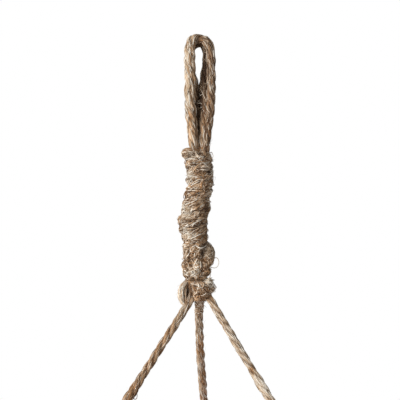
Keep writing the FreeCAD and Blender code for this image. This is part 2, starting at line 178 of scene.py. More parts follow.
# ---------------------------------------------------------------- mesh gathering
class Gather:
    """Collects tubes and makes one mesh of them, with the fibre coordinates its material reads."""

    def __init__(self):
        self.v, self.q, self.t, self.fib, self.look, self.n = [], [], [], [], [], 0

    def rings(self, pts, fib, look, cap=True):
        """pts is (rings, around, 3). fib and look are the same shape."""
        r, a = pts.shape[:2]
        base = self.n
        idx = base + np.arange(r * a).reshape(r, a)
        nxt = np.roll(idx, -1, axis=1)
        quads = np.stack([idx[:-1], nxt[:-1], nxt[1:], idx[1:]], axis=-1).reshape(-1, 4)
        self.v.append(pts.reshape(-1, 3))
        self.fib.append(fib.reshape(-1, 3))
        self.look.append(look.reshape(-1, 3))
        self.q.append(quads)
        self.n += r * a
        if cap:
            for ring, flip in ((0, True), (r - 1, False)):
                c = self.n
                self.v.append(pts[ring].mean(0)[None])
                self.fib.append(fib[ring].mean(0)[None])
                self.look.append(look[ring].mean(0)[None])
                self.n += 1
                i, j = idx[ring], np.roll(idx[ring], -1)
                tri = np.stack([i, j, np.full(a, c)], axis=-1)
                self.t.append(tri[:, ::-1] if flip else tri)

    def many(self, pts, fib, look):
        """Many small tubes at once: pts is (tubes, rings, around, 3)."""
        f, r, a = pts.shape[:3]
        if not f:
            return
        base = self.n
        idx = base + np.arange(f * r * a).reshape(f, r, a)
        nxt = np.roll(idx, -1, axis=2)
        self.q.append(np.stack([idx[:, :-1], nxt[:, :-1], nxt[:, 1:], idx[:, 1:]], axis=-1).reshape(-1, 4))
        self.v.append(pts.reshape(-1, 3))
        self.fib.append(fib.reshape(-1, 3))
        self.look.append(look.reshape(-1, 3))
        self.n += f * r * a
        for ring, flip in ((0, True), (r - 1, False)):
            c = self.n + np.arange(f)
            self.v.append(pts[:, ring].mean(1))
            self.fib.append(fib[:, ring].mean(1))
            self.look.append(look[:, ring].mean(1))
            self.n += f
            i, j = idx[:, ring], nxt[:, ring]
            tri = np.stack([i, j, np.broadcast_to(c[:, None], i.shape)], axis=-1).reshape(-1, 3)
            self.t.append(tri[:, ::-1] if flip else tri)

    def piece(self, name, material, body=None):
        v = np.concatenate(self.v)
        fib, look = np.concatenate(self.fib), np.concatenate(self.look)
        q = np.concatenate(self.q) if self.q else np.zeros((0, 4), int)
        t = np.concatenate(self.t) if self.t else np.zeros((0, 3), int)
        me = bpy.data.meshes.new(name)
        me.vertices.add(len(v))
        me.vertices.foreach_set("co", v.astype(np.float32).ravel())
        me.loops.add(q.size + t.size)
        me.loops.foreach_set("vertex_index", np.concatenate([q.ravel(), t.ravel()]).astype(np.int32))
        me.polygons.add(len(q) + len(t))
        start = np.concatenate([np.arange(len(q)) * 4, q.size + np.arange(len(t)) * 3])
        me.polygons.foreach_set("loop_start", start.astype(np.int32))
        me.update(calc_edges=True)
        me.validate()
        me.shade_smooth()
        for key, data in (("fib", fib), ("look", look)):
            at = me.attributes.new(key, "FLOAT_VECTOR", "POINT")
            at.data.foreach_set("vector", data.astype(np.float32).ravel())
        ob = bpy.data.objects.new(name, me)
        bpy.context.scene.collection.objects.link(ob)
        me.materials.append(material)
        if body:
            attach(ob, body)
        return ob


# ---------------------------------------------------------------- cord
def tube(g, line, radius, rng, around=8, tone=0.0, flat=1.0, fray=0.0, first=None, extra_painted_shade=0.0):
    """A plain tapering fibre, yarn or bundle. radius is one number or one per point."""
    t, n, b = carried(line, first)
    s = along(line)
    r = np.broadcast_to(np.asarray(radius, float), (len(line),))
    a = np.linspace(0, TAU, around, endpoint=False)
    ca, sa = np.cos(a)[None, :, None], np.sin(a)[None, :, None]
    pts = line[:, None] + r[:, None, None] * (ca * n[:, None] + sa * b[:, None] * flat)
    off = rng.uniform(0, 5)
    fib = np.zeros_like(pts)
    fib[..., 0] = s[:, None] + off
    fib[..., 1] = r[:, None] * np.cos(a)[None]
    fib[..., 2] = r[:, None] * np.sin(a)[None]
    look = np.zeros_like(pts)
    # the first look value is painted shade
    look[..., 0], look[..., 1], look[..., 2] = extra_painted_shade, tone, fray
    g.rings(pts, fib, look)


def at(values, s, where):
    """Values along a length, read at other places along it."""
    shape = where.shape
    w = where.ravel()
    if values.ndim == 1:
        return np.interp(w, s, values).reshape(shape)
    return np.stack([np.interp(w, s, values[:, i]) for i in range(3)], axis=-1).reshape(*shape, 3)


def mat(g, rng, s, line, t, c, e1, e2, rs, d, n, hand, tw, tone, spread, extra_painted_shade, points=8, around=4, squash=None, arc=2.3, loose=1.0, reach=(0.0040, 0.0140)):
    """Bundles of fibre lying on a strand, each with a colour of its own, crossing at small angles and diving in at their ends."""
    total = s[-1]
    long = np.minimum(rng.uniform(*reach, n), 0.8 * total)
    mid = rng.uniform(0.5 * long + 0.0002, total - 0.5 * long - 0.0002)
    u = np.linspace(0, 1, points)
    sf = mid[:, None] + long[:, None] * (u - 0.5)
    a0 = rng.uniform(-arc, arc, n)
    slope = rng.normal(0, 0.16, n) * loose
    ds = sf - mid[:, None]
    r0 = at(rs, s, sf)
    wig = rng.normal(0, 0.10, n)[:, None] * np.sin(u * TAU * rng.uniform(0.5, 1.2, n)[:, None] + rng.uniform(0, TAU, n)[:, None])
    a = a0[:, None] - hand * tw * 0.9 * ds + (slope[:, None] * ds) / r0 + wig
    arch = np.sin(np.pi * u) ** 0.6
    lift = rng.uniform(-0.02, 0.13, n) * loose
    r = r0 * (0.93 + (0.06 + lift[:, None]) * arch)
    ca, sa = np.cos(a)[..., None], np.sin(a)[..., None]
    nn = ca * at(e1, s, sf) + sa * at(e2, s, sf)
    off = r[..., None] * nn
    if squash is not None:
        fn, fb, sq = squash
        N, B = at(fn, s, sf), at(fb, s, sf)
        on, ob = (off * N).sum(-1), (off * B).sum(-1)
        off = off + ((sq[0] - 1) * on)[..., None] * N + ((sq[1] - 1) * ob)[..., None] * B
    pos = at(c, s, sf) + off
    tt = unit(np.gradient(pos, axis=1))
    nn = unit(nn - (nn * tt).sum(-1)[..., None] * tt)
    bb = np.cross(tt, nn)
    w = (rng.uniform(0.00008, 0.00020, n) * (d / 0.005) ** 0.5)[:, None] * (0.25 + 0.75 * np.sin(np.pi * np.clip(u, 0.03, 0.97)) ** 0.5)
    be = np.linspace(0, TAU, around, endpoint=False) + 0.4
    cb, sb = np.cos(be)[None, None, :, None], np.sin(be)[None, None, :, None]
    pts = pos[:, :, None] + w[:, :, None, None] * (cb * nn[:, :, None] * 0.85 + sb * bb[:, :, None] * 1.15)
    L, T = at(line, s, sf), at(t, s, sf)
    v = pos - L
    rho = np.linalg.norm(v - (v * T).sum(-1)[..., None] * T, axis=-1)
    # painted shade on bundles that lie deep in the grooves, near the cord's middle
    painted_shade = np.clip((0.90 - rho / (0.515 * d)) / 0.30, 0, 1)
    fib = np.zeros_like(pts)
    fib[..., 0] = (sf + rng.uniform(0, 9, n)[:, None])[:, :, None]
    fib[..., 1] = w[:, :, None] * np.cos(be)
    fib[..., 2] = w[:, :, None] * np.sin(be)
    look = np.zeros_like(pts)
    here = tone(sf / total) if callable(tone) else tone
    look[..., 1] = (here + rng.normal(0, spread, n)[:, None])[..., None]
    look[..., 2] = rng.uniform(0, 1, n)[:, None, None]
    # extra painted shade given along the cord
    dark = extra_painted_shade(sf / total) if callable(extra_painted_shade) else extra_painted_shade
    look[..., 0] = np.maximum(painted_shade, dark)[:, :, None]
    g.many(pts, fib, look)


def cord(g, line, rng, d=D, lay=LAY, hand=-1, around=14, step=0.0009, phase=None, squash=(1.0, 1.0), frames=None,
         hairs=0.0, tone=0.0, ridge=1.0, extra_painted_shade=0.0, fat=None, bundles=17.0, spread=0.21, loose=1.0, reach=(0.0040, 0.0140)):
    """A three-strand laid cord along a line. squash flattens it along and across the first frame direction.
    hairs is how many loose fibres it has for each metre, and bundles how many fibre bundles lie side by side on a strand."""
    line = even(np.array(line, float), step)
    m = len(line)
    s = along(line)
    total = s[-1]
    if frames is None:
        t, n, b = carried(line)
    else:
        t = unit(np.gradient(line, axis=0))
        n = frames(line)
        n = unit(n - (n * t).sum(1)[:, None] * t)
        b = np.cross(t, n)
    if phase is None:
        phase = rng.uniform(0, TAU)
    drift = 0.35 * wander(rng, total, 0.018, m)
    swell = 1 + 0.05 * wander(rng, total, 0.011, m)
    if fat is not None:
        swell = swell * fat(s / total)
    a = np.linspace(0, TAU, around, endpoint=False)
    tw = 0.82 * TAU * 0.52 / lay / 0.315
    for k in range(3):
        phi = phase + hand * TAU * s / lay + k * TAU / 3 + drift + 0.12 * wander(rng, total, 0.009, m)
        big = ROOT * d * swell
        e1 = np.cos(phi)[:, None] * n + np.sin(phi)[:, None] * b
        c = line + big[:, None] * (np.cos(phi)[:, None] * n * squash[0] + np.sin(phi)[:, None] * b * squash[1])
        ts = unit(np.gradient(c, axis=0))
        e1 = unit(e1 - (e1 * ts).sum(1)[:, None] * ts)
        e2 = np.cross(ts, e1)
        slub = 1 + 0.06 * wander(rng, total, 0.008, m) + 0.035 * wander(rng, total, 0.0024, m)
        rs = STRAND * d * slub * swell
        fa = a[None, :] + hand * tw * s[:, None]
        ss = np.broadcast_to(s[:, None], fa.shape)
        r1, r2 = Ripple(rng, total, 0.0060, 8), Ripple(rng, total, 0.0030, 15)
        r = rs[:, None] * (1 + ridge * (0.085 * r1(ss, fa) + 0.06 * r2(ss, fa)))
        off = r[..., None] * (np.cos(a)[None, :, None] * e1[:, None] + np.sin(a)[None, :, None] * e2[:, None])
        if squash != (1.0, 1.0):
            on, ob = (off * n[:, None]).sum(-1), (off * b[:, None]).sum(-1)
            off = off + ((squash[0] - 1) * on)[..., None] * n[:, None] + ((squash[1] - 1) * ob)[..., None] * b[:, None]
        pts = c[:, None] + off
        v = pts - line[:, None]
        rho = np.linalg.norm(v - (v * t[:, None]).sum(-1)[..., None] * t[:, None], axis=-1)
        # painted shade in the grooves: the nearer a point lies to the cord's middle, the darker
        painted_shade = np.clip((0.95 - rho / (0.515 * d)) / 0.30, 0, 1)
        fib = np.zeros_like(pts)
        fib[..., 0] = s[:, None] + rng.uniform(0, 9)
        fib[..., 1] = STRAND * d * np.cos(fa)
        fib[..., 2] = STRAND * d * np.sin(fa)
        look = np.zeros_like(pts)
        # the first look value is painted shade, from the grooves and from the extra shade given along the cord
        look[..., 0] = np.maximum(painted_shade, extra_painted_shade(s / total)[:, None] if callable(extra_painted_shade) else extra_painted_shade)
        # the strand under its fibre bundles is painted 0.16 darker, as shade in the gaps between the bundles
        look[..., 1] = (tone(s / total)[:, None] if callable(tone) else tone) - 0.16 + rng.uniform(-0.05, 0.05) + 0.12 * wander(rng, total, 0.02, m)[:, None]
        look[..., 2] = 0.8
        g.rings(pts, fib, look)
        count = int(total * bundles / (0.5 * (reach[0] + reach[1])))
        mat(g, rng, s, line, t, c, e1, e2, rs, d, count, hand, tw, tone, spread, extra_painted_shade, squash=None if squash == (1.0, 1.0) else (n, b, squash), loose=loose, reach=reach)
    # loose fibres on the surface
    for _ in range(int(hairs * total)):
        i = rng.integers(2, m - 2)
        phi = rng.uniform(0, TAU)
        out = math.cos(phi) * n[i] + math.sin(phi) * b[i]
        side = np.cross(t[i], out)
        base = line[i] + out * 0.47 * d
        long = rng.uniform(0.0015, 0.0062)
        way = 1 if s[i] < long else -1 if total - s[i] < long else rng.choice([-1, 1])
        lift = min(rng.uniform(0.0, 0.10) if rng.random() < 0.85 else rng.uniform(0.1, 0.5), 0.0018 / long)
        curl = rng.uniform(-0.3, 0.3)
        u = np.linspace(0, 1, 6)[:, None]
        hair = base + t[i] * way * long * u * (1 - 0.2 * lift) + out * (long * lift * u ** 1.5) + side * (long * curl * u * (0.4 + u))
        radius = rng.uniform(0.000045, 0.000095) * (1 - 0.75 * u[:, 0] ** 2)
        tube(g, hair, radius, rng, around=3, tone=rng.uniform(0.0, 0.45), fray=1.0)
    return line


def fibres(g, start, way, rng, n, spread, length, radius=0.00013, rise=0.0, tone=0.1, droop=0.0, curl=0.25, points=7, foot=0.0012):
    """A frayed end: loose fibres that start together and part."""
    way = unit(np.array(way, float))
    x = unit(np.cross(way, [0.3, 0.2, 0.9]))
    y = np.cross(way, x)
    for _ in range(n):
        f = math.sqrt(rng.random())
        an = rng.uniform(0, TAU)
        side = math.cos(an) * x + math.sin(an) * y
        long = length * rng.uniform(0.55, 1.0)
        u = np.linspace(0, 1, points)[:, None]
        wig = curl * long * (math.sin(an * 3) * x + math.cos(an * 2) * y)
        p = np.array(start) + side * foot * f + way * long * u + side * spread * f * long * u ** 1.3 + wig * u ** 2 * rng.uniform(-1, 1)
        p = p + np.array([0, 0, -1.0]) * droop * long * u ** 2
        tube(g, p, radius * rng.uniform(0.6, 1.25) * (1 - 0.6 * u[:, 0]), rng, around=4, tone=tone + rng.uniform(-0.3, 0.35), fray=1.0)


def mm(points):
    return [tuple(c * MM for c in p) for p in points]


class Skin:
    """How far a knot or binding stands out from its own upright middle line, all round and all along, so that fibres can lie on it."""

    def __init__(self, gathers, middle, z0, z1, bridge=1):
        v = []
        for g in gathers:
            c = np.concatenate(g.v)[np.concatenate(g.q)]
            for i in np.linspace(0, 1, 5):
                for j in np.linspace(0, 1, 4):
                    v.append((1 - i) * (1 - j) * c[:, 0] + i * (1 - j) * c[:, 1] + i * j * c[:, 2] + (1 - i) * j * c[:, 3])
        v = np.concatenate(v)
        self.middle, self.z0, self.dz, self.na = middle, z0, 0.0005, 72
        self.nz = int((z1 - z0) / self.dz) + 1
        cx, cy = middle(v[:, 2])
        x, y = v[:, 0] - cx, v[:, 1] - cy
        r = np.hypot(x, y)
        i = np.floor((np.arctan2(y, x) % TAU) / TAU * self.na).astype(int) % self.na
        j = np.round((v[:, 2] - z0) / self.dz).astype(int)
        ok = (j >= 0) & (j < self.nz)
        R = np.zeros((self.na, self.nz))
        np.maximum.at(R, (i[ok], j[ok]), r[ok])
        for _ in range(6):
            near = np.max([np.roll(R, 1, 0), np.roll(R, -1, 0), np.pad(R, ((0, 0), (1, 0)))[:, :-1], np.pad(R, ((0, 0), (0, 1)))[:, 1:]], axis=0)
            R = np.where(R < 0.001, near, R)
        for _ in range(bridge):
            R = self.soft(R)
        self.R = R
        for _ in range(10):
            R = self.soft(R)
        self.B = R

    @staticmethod
    def soft(R):
        R = (np.roll(R, 1, 0) + 2 * R + np.roll(R, -1, 0)) / 4
        p = np.pad(R, ((0, 0), (1, 1)), mode="edge")
        return (p[:, :-2] + 2 * R + p[:, 2:]) / 4

    def read(self, a, z, M):
        f = (a % TAU) / TAU * self.na - 0.5
        i0 = np.floor(f).astype(int)
        u = f - i0
        g = np.clip((z - self.z0) / self.dz, 0, self.nz - 1.001)
        j0 = g.astype(int)
        v = g - j0
        i0, i1 = i0 % self.na, (i0 + 1) % self.na
        return (1 - u) * ((1 - v) * M[i0, j0] + v * M[i0, j0 + 1]) + u * ((1 - v) * M[i1, j0] + v * M[i1, j0 + 1])

    def lay(self, g, a, z, w, lift, tone, warm, rng):
        """Fibres that follow a and z over the surface; w is their half width at each point."""
        R = self.read(a, z, self.R)
        r = R + 0.5 * w + lift
        cx, cy = self.middle(z)
        nn = np.stack([np.cos(a), np.sin(a), np.zeros_like(a)], axis=-1)
        pos = np.stack([cx, cy, z], axis=-1) + r[..., None] * nn
        tt = unit(np.gradient(pos, axis=1))
        nn = unit(nn - (nn * tt).sum(-1)[..., None] * tt)
        bb = np.cross(tt, nn)
        be = np.linspace(0, TAU, 4, endpoint=False) + 0.4
        cb, sb = np.cos(be)[None, None, :, None], np.sin(be)[None, None, :, None]
        pts = pos[:, :, None] + w[:, :, None, None] * (cb * nn[:, :, None] * 0.85 + sb * bb[:, :, None] * 1.15)
        fib, look = np.zeros_like(pts), np.zeros_like(pts)
        step = np.linalg.norm(np.diff(pos, axis=1), axis=-1)
        sf = np.concatenate([np.zeros((len(a), 1)), np.cumsum(step, axis=1)], axis=1)
        fib[..., 0] = (sf + rng.uniform(0, 9, len(a))[:, None])[:, :, None]
        fib[..., 1] = w[:, :, None] * np.cos(be)
        fib[..., 2] = w[:, :, None] * np.sin(be)
        # painted shade where a fibre lies below the smoothed surface, down in a recess
        low = np.clip((self.read(a, z, self.B) - R - lift) / 0.0013, 0, 1) * 0.8
        look[..., 0] = low[:, :, None]
        look[..., 1] = tone[:, None, None]
        look[..., 2] = warm[:, None, None]
        g.many(pts, fib, look)

    def drape(self, g, rng, n, z, heading=(0.0, 0.5), angle=(0.0, TAU), length=(0.003, 0.008), curl=0.35, width=(0.00007, 0.00018), tone=0.0, spread=0.24, lift=0.00025, warm=(0.0, 1.0), points=9):
        """n loose fibres on the surface between two heights. heading is their mean direction and its spread, from level round to the right."""
        long = rng.uniform(*length, n)
        a, zz = rng.uniform(*angle, n), rng.uniform(*z, n)
        psi = rng.normal(*heading, n) + np.pi * (rng.random(n) < 0.5)
        bend = rng.normal(0, curl, n) * 1000
        A, Z = [a], [zz]
        ds = long / (points - 1)
        for _ in range(points - 1):
            psi = psi + bend * ds + rng.normal(0, 0.10, n)
            R = np.maximum(self.read(A[-1], Z[-1], self.R), 0.003)
            A.append(A[-1] + np.cos(psi) * ds / R)
            Z.append(np.clip(Z[-1] + np.sin(psi) * ds, z[0] - 0.0008, z[1] + 0.0008))
        A, Z = np.stack(A, 1), np.stack(Z, 1)
        u = np.linspace(0, 1, points)
        w = rng.uniform(*width, n)[:, None] * (0.3 + 0.7 * np.sin(np.pi * np.clip(u, 0.03, 0.97)) ** 0.5)
        up = (rng.exponential(lift, n)[:, None]) * np.sin(np.pi * u) - 0.00012 * (1 - np.sin(np.pi * u))
        self.lay(g, A, Z, w, up, tone + rng.normal(0, spread, n), rng.uniform(*warm, n), rng)

    def front(self, g, rng, points, width, tone, lift=0.0002, warm=0.3):
        """One fibre on the front through these places, x and z in mm."""
        p = spline_line([(x * MM, 0.0, z * MM) for x, z in points])
        x, z = p[:, 0], p[:, 2]
        grid = np.linspace(-math.pi, 0, 181)
        a = []
        for xi, zi in zip(x, z):
            off = self.read(grid, np.full(181, zi), self.R) * np.cos(grid) - (xi - float(self.middle(zi)[0]))
            a.append(grid[np.argmin(np.abs(off))])
        a = np.convolve(np.pad(a, 3, mode="edge"), np.ones(7) / 7, mode="valid")
        keep = np.linspace(0, len(a) - 1, 22).astype(int)
        u = np.linspace(0, 1, 22)
        w = width * (0.4 + 0.6 * np.sin(np.pi * np.clip(u, 0.05, 0.95)) ** 0.5)
        self.lay(g, a[keep][None], z[keep][None], w[None], (lift * np.sin(np.pi * u))[None], np.array([tone]), np.array([warm]), rng)


def paint_shade_light_and_brown(g, spots, depth=0.001):
    """Places on the front painted darker, lighter or browner: middle and half size in the photograph's units, then how
    dark (painted shade), how much lighter or darker (on lit and shaded sides this is painted light and shade) and how
    brown (the fibre's own colour).
    """
    for v, look in zip(g.v, g.look):
        X, Y = v[:, 0] / MM / 0.625 + 199.5, -v[:, 2] / MM / 0.625 + 48
        for x, y, rx, ry, dark, light, brown in spots:
            w = np.exp(-((X - x) / rx) ** 2 - ((Y - y) / ry) ** 2) * np.clip((depth + 0.0006 - v[:, 1]) / 0.0006, 0, 1)
            look[:, 0] = np.maximum(look[:, 0], 0.9 * dark * w)
            look[:, 1] += 0.55 * light * w
            look[:, 2] = look[:, 2] * (1 - w) + (brown if brown is not None else look[:, 2]) * w


def px(x, y):
    return ((x - 199.5) * 0.625, -(y - 48) * 0.625)


def lumpy(g, points, radii, rng, tone=0.0, warm=0.5, rough=0.10):
    """A soft uneven mass along a line, under loose fibres."""
    line = even(spline_line(mm(points)), 0.0008)
    s = along(line)
    t, n, b = carried(line)
    r = np.interp(s / s[-1], np.linspace(0, 1, len(radii)), radii) * MM
    a = np.linspace(0, TAU, 20, endpoint=False)
    ss, aa = np.broadcast_to(s[:, None], (len(s), 20)), np.broadcast_to(a[None], (len(s), 20))
    r1 = Ripple(rng, s[-1], 0.004, 3)
    rr = r[:, None] * (1 + rough * r1(ss, aa))
    end = np.minimum(s, s[-1] - s)
    rr = rr * np.sqrt(np.clip(end / (0.7 * r) + 0.12, 0, 1))[:, None]
    pts = line[:, None] + rr[..., None] * (np.cos(a)[None, :, None] * n[:, None] + np.sin(a)[None, :, None] * b[:, None])
    fib, look = np.zeros_like(pts), np.zeros_like(pts)
    fib[..., 0] = s[:, None] + rng.uniform(0, 9)
    fib[..., 1] = rr * np.cos(a)
    fib[..., 2] = rr * np.sin(a)
    # the mass is painted in shade, with a darker tone, as it lies under the loose fibres
    look[..., 0] = 0.35
    look[..., 1] = tone - 0.12
    look[..., 2] = warm
    g.rings(pts, fib, look)


def polar(r, degrees, z):
    a = math.radians(degrees)
    return np.array([r * math.cos(a), r * math.sin(a), z])


# ---------------------------------------------------------------- materials
def nodes_of(name):
    m = bpy.data.materials.new(name)
    m.use_nodes = True
    nt = m.node_tree
    nt.nodes.clear()
    out = nt.nodes.new("ShaderNodeOutputMaterial")
    p = nt.nodes.new("ShaderNodeBsdfPrincipled")
    nt.links.new(p.outputs[0], out.inputs["Surface"])
    return m, nt, p


def jute(name, dark, mid, light, warm, gain=1.0):
    """Twisted plant fibre: streaks that run with the fibres, brown and straw patches, and painted shade in the hollows.
    """
    m, nt, p = nodes_of(name)
    new, link = nt.nodes.new, nt.links.new

    def attribute(key):
        a = new("ShaderNodeAttribute")
        a.attribute_type = "GEOMETRY"
        a.attribute_name = key
        return a

    def noise(scale, detail, rough=0.55, size=1.0):
        vm = new("ShaderNodeVectorMath")
        vm.operation = "MULTIPLY"
        vm.inputs[1].default_value = scale
        link(fib.outputs["Vector"], vm.inputs[0])
        n = new("ShaderNodeTexNoise")
        n.inputs["Scale"].default_value = size
        n.inputs["Detail"].default_value = detail
        n.inputs["Roughness"].default_value = rough
        link(vm.outputs[0], n.inputs["Vector"])
        return n.outputs["Fac"]

    def maths(op, a, b, clamp=False):
        k = new("ShaderNodeMath")
        k.operation = op
        k.use_clamp = clamp
        for i, x in enumerate((a, b)):
            if isinstance(x, (int, float)):
                k.inputs[i].default_value = x
            else:
                link(x, k.inputs[i])
        return k.outputs[0]

    fib, look = attribute("fib"), attribute("look")
    parts = new("ShaderNodeSeparateXYZ")
    link(look.outputs["Vector"], parts.inputs[0])
    painted_shade, tone, brown = parts.outputs["X"], parts.outputs["Y"], parts.outputs["Z"]
    streak = noise((170, 2300, 2300), 3.0)
    fine = noise((420, 6500, 6500), 2.0)
    patch = noise((75, 420, 420), 2.0)
    value = maths("ADD", maths("MULTIPLY", streak, 0.95), maths("MULTIPLY", fine, 0.42))
    value = maths("ADD", value, maths("MULTIPLY", patch, 0.55))
    value = maths("SUBTRACT", value, 0.46)
    value = maths("ADD", value, tone)
    ramp = new("ShaderNodeValToRGB")
    cr = ramp.color_ramp
    cr.elements[0].position, cr.elements[0].color = 0.20, (*dark, 1)
    cr.elements[1].position, cr.elements[1].color = 0.84, (*light, 1)
    e = cr.elements.new(0.48)
    e.color = (*mid, 1)
    link(value, ramp.inputs[0])
    # warm brown patches
    warmth = new("ShaderNodeMix")
    warmth.data_type = "RGBA"
    amount = noise((110, 900, 900), 2.0)
    amount = maths("ADD", maths("MULTIPLY", amount, 0.9), maths("MULTIPLY", brown, 0.45))
    amount = maths("MINIMUM", maths("MULTIPLY", maths("SUBTRACT", amount, 0.64), 3.2, clamp=True), 0.85)
    amount = maths("MULTIPLY", amount, maths("MULTIPLY", maths("SUBTRACT", 0.92, value), 2.4, clamp=True))
    link(amount, warmth.inputs["Factor"])
    link(ramp.outputs[0], warmth.inputs["A"])
    tint = new("ShaderNodeMix")
    tint.data_type = "RGBA"
    tint.blend_type = "MULTIPLY"
    tint.inputs["Factor"].default_value = 1.0
    link(ramp.outputs[0], tint.inputs["A"])
    tint.inputs["B"].default_value = (*warm, 1)
    link(tint.outputs["Result"], warmth.inputs["B"])
    # painted shade: the hollows between the strands, and other places marked dark, are multiplied towards dark brown,
    # as they take less light
    shade = new("ShaderNodeMix")
    shade.data_type = "RGBA"
    shade.blend_type = "MULTIPLY"
    link(maths("MULTIPLY", painted_shade, 0.88, clamp=True), shade.inputs["Factor"])
    link(warmth.outputs["Result"], shade.inputs["A"])
    shade.inputs["B"].default_value = (0.26, 0.160, 0.092, 1)
    link(shade.outputs["Result"], p.inputs["Base Color"])
    rough = maths("ADD", maths("MULTIPLY", streak, -0.25), 0.92)
    link(rough, p.inputs["Roughness"])
    p.inputs["Specular IOR Level"].default_value = 0.32
    p.inputs["Sheen Weight"].default_value = 0.12
    p.inputs["Sheen Roughness"].default_value = 0.45
    p.inputs["Sheen Tint"].default_value = (0.95, 0.86, 0.72, 1)
    b = new("ShaderNodeBump")
    b.inputs["Strength"].default_value = 0.75
    b.inputs["Distance"].default_value = 0.00022
    link(maths("ADD", maths("MULTIPLY", streak, 0.8), maths("MULTIPLY", fine, 0.45)), b.inputs["Height"])
    link(b.outputs["Normal"], p.inputs["Normal"])
    return m


JUTE = jute("jute", (0.092, 0.049, 0.022), (0.378, 0.268, 0.168), (0.745, 0.696, 0.615), (0.97, 0.69, 0.43))


def terracotta():
    m, nt, p = nodes_of("terracotta")
    new, link = nt.nodes.new, nt.links.new
    tc = new("ShaderNodeTexCoord")

    def noise(scale, detail, rough=0.55, stretch=(1, 1, 1)):
        vm = new("ShaderNodeVectorMath")
        vm.operation = "MULTIPLY"
        vm.inputs[1].default_value = stretch
        link(tc.outputs["Object"], vm.inputs[0])
        n = new("ShaderNodeTexNoise")
        n.inputs["Scale"].default_value = scale
        n.inputs["Detail"].default_value = detail
        n.inputs["Roughness"].default_value = rough
        link(vm.outputs[0], n.inputs["Vector"])
        return n.outputs["Fac"]

    def maths(op, a, b, clamp=False):
        k = new("ShaderNodeMath")
        k.operation = op
        k.use_clamp = clamp
        for i, x in enumerate((a, b)):
            if isinstance(x, (int, float)):
                k.inputs[i].default_value = x
            else:
                link(x, k.inputs[i])
        return k.outputs[0]

    cloud = noise(14, 5)
    rings = noise(9, 4, 0.6, (1, 1, 26))
    grain = noise(900, 3)
    bloom = noise(26, 6, 0.62)
    ramp = new("ShaderNodeValToRGB")
    cr = ramp.color_ramp
    cr.elements[0].position, cr.elements[0].color = 0.30, (0.330, 0.108, 0.048, 1)
    cr.elements[1].position, cr.elements[1].color = 0.75, (0.560, 0.235, 0.125, 1)
    e = cr.elements.new(0.52)
    e.color = (0.455, 0.168, 0.082, 1)
    link(maths("ADD", maths("MULTIPLY", cloud, 0.6), maths("ADD", maths("MULTIPLY", rings, 0.3), maths("MULTIPLY", grain, 0.12))), ramp.inputs[0])
    chalk = new("ShaderNodeMix")
    chalk.data_type = "RGBA"
    link(maths("MULTIPLY", maths("SUBTRACT", bloom, 0.54), 2.4, clamp=True), chalk.inputs["Factor"])
    link(ramp.outputs[0], chalk.inputs["A"])
    chalk.inputs["B"].default_value = (0.600, 0.390, 0.290, 1)
    link(chalk.outputs["Result"], p.inputs["Base Color"])
    link(maths("ADD", maths("MULTIPLY", cloud, 0.2), 0.72), p.inputs["Roughness"])
    p.inputs["Specular IOR Level"].default_value = 0.35
    b = new("ShaderNodeBump")
    b.inputs["Strength"].default_value = 0.5
    b.inputs["Distance"].default_value = 0.0005
    link(maths("ADD", maths("MULTIPLY", rings, 1.6), maths("ADD", maths("MULTIPLY", grain, 0.35), maths("MULTIPLY", cloud, 0.5))), b.inputs["Height"])
    link(b.outputs["Normal"], p.inputs["Normal"])
    return m


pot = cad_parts["pot"]
pot.data.materials.clear()
pot.data.materials.append(terracotta())

# ---------------------------------------------------------------- hanging loop
LOOP_FRONT = mm([
    (3.0, -2.2, -68.0), (3.4, -2.4, -63.0), (4.8, -2.6, -54.0), (6.7, -2.6, -42.0), (7.4, -2.6, -30.0), (7.4, -2.6, -19.0),
    (7.2, -2.6, -9.0), (6.9, -2.3, -1.0), (4.6, -0.6, 4.6), (1.4, 1.6, 5.4), (-1.6, 1.6, 5.8), (-4.6, -0.6, 5.6), (-6.4, -2.4, 0.0), (-5.9, -2.6, -12.0),
    (-5.8, -2.6, -23.0), (-6.0, -2.6, -33.0), (-5.2, -2.6, -45.0), (-4.0, -2.4, -55.0), (-3.6, -2.2, -63.0), (-3.4, -1.8, -68.0)])
LOOP_REAR = mm([
    (0.8, -0.6, -68.0), (1.2, -0.8, -62.0), (2.4, -1.2, -52.0), (3.2, -0.9, -42.0), (3.0, -0.2, -31.0), (2.6, 0.8, -22.0), (4.0, 1.6, -14.0), (4.9, 1.8, -6.0),
    (4.4, 2.2, 0.0), (2.2, 2.6, 3.0), (-0.8, 2.6, 3.4), (-3.8, 2.6, 2.6), (-5.9, 2.6, -1.0), (-6.2, 2.6, -8.0), (-5.7, 2.6, -15.0),
    (-3.0, 2.6, -22.5), (-1.2, 2.8, -36.0), (-1.4, 2.6, -50.0), (-2.0, 2.2, -60.0), (-2.4, 1.8, -68.0)])
# tone and painted shade along each loop cord: the front cord is darker at its top and on its right leg and lighter on
# its left leg, painted shade and light for light that comes from the left; the rear cord, which sits in shade behind,
# is painted darker
LOOP_X, LOOP_Y = np.array([0.0, 0.21, 0.40, 0.47, 0.53, 0.60, 1.0]), {
    "front": np.array([-0.04, -0.04, -0.02, -0.10, 0.03, 0.08, 0.08]), "rear": np.array([0.04, -0.06, -0.18, -0.20, -0.20, -0.20, -0.16])}
LOOP_PAINTED_SHADE = {"front": np.array([0.0, 0.0, 0.05, 0.30, 0.05, 0.0, 0.0]), "rear": np.array([0.0, 0.05, 0.10, 0.10, 0.10, 0.10, 0.10])}
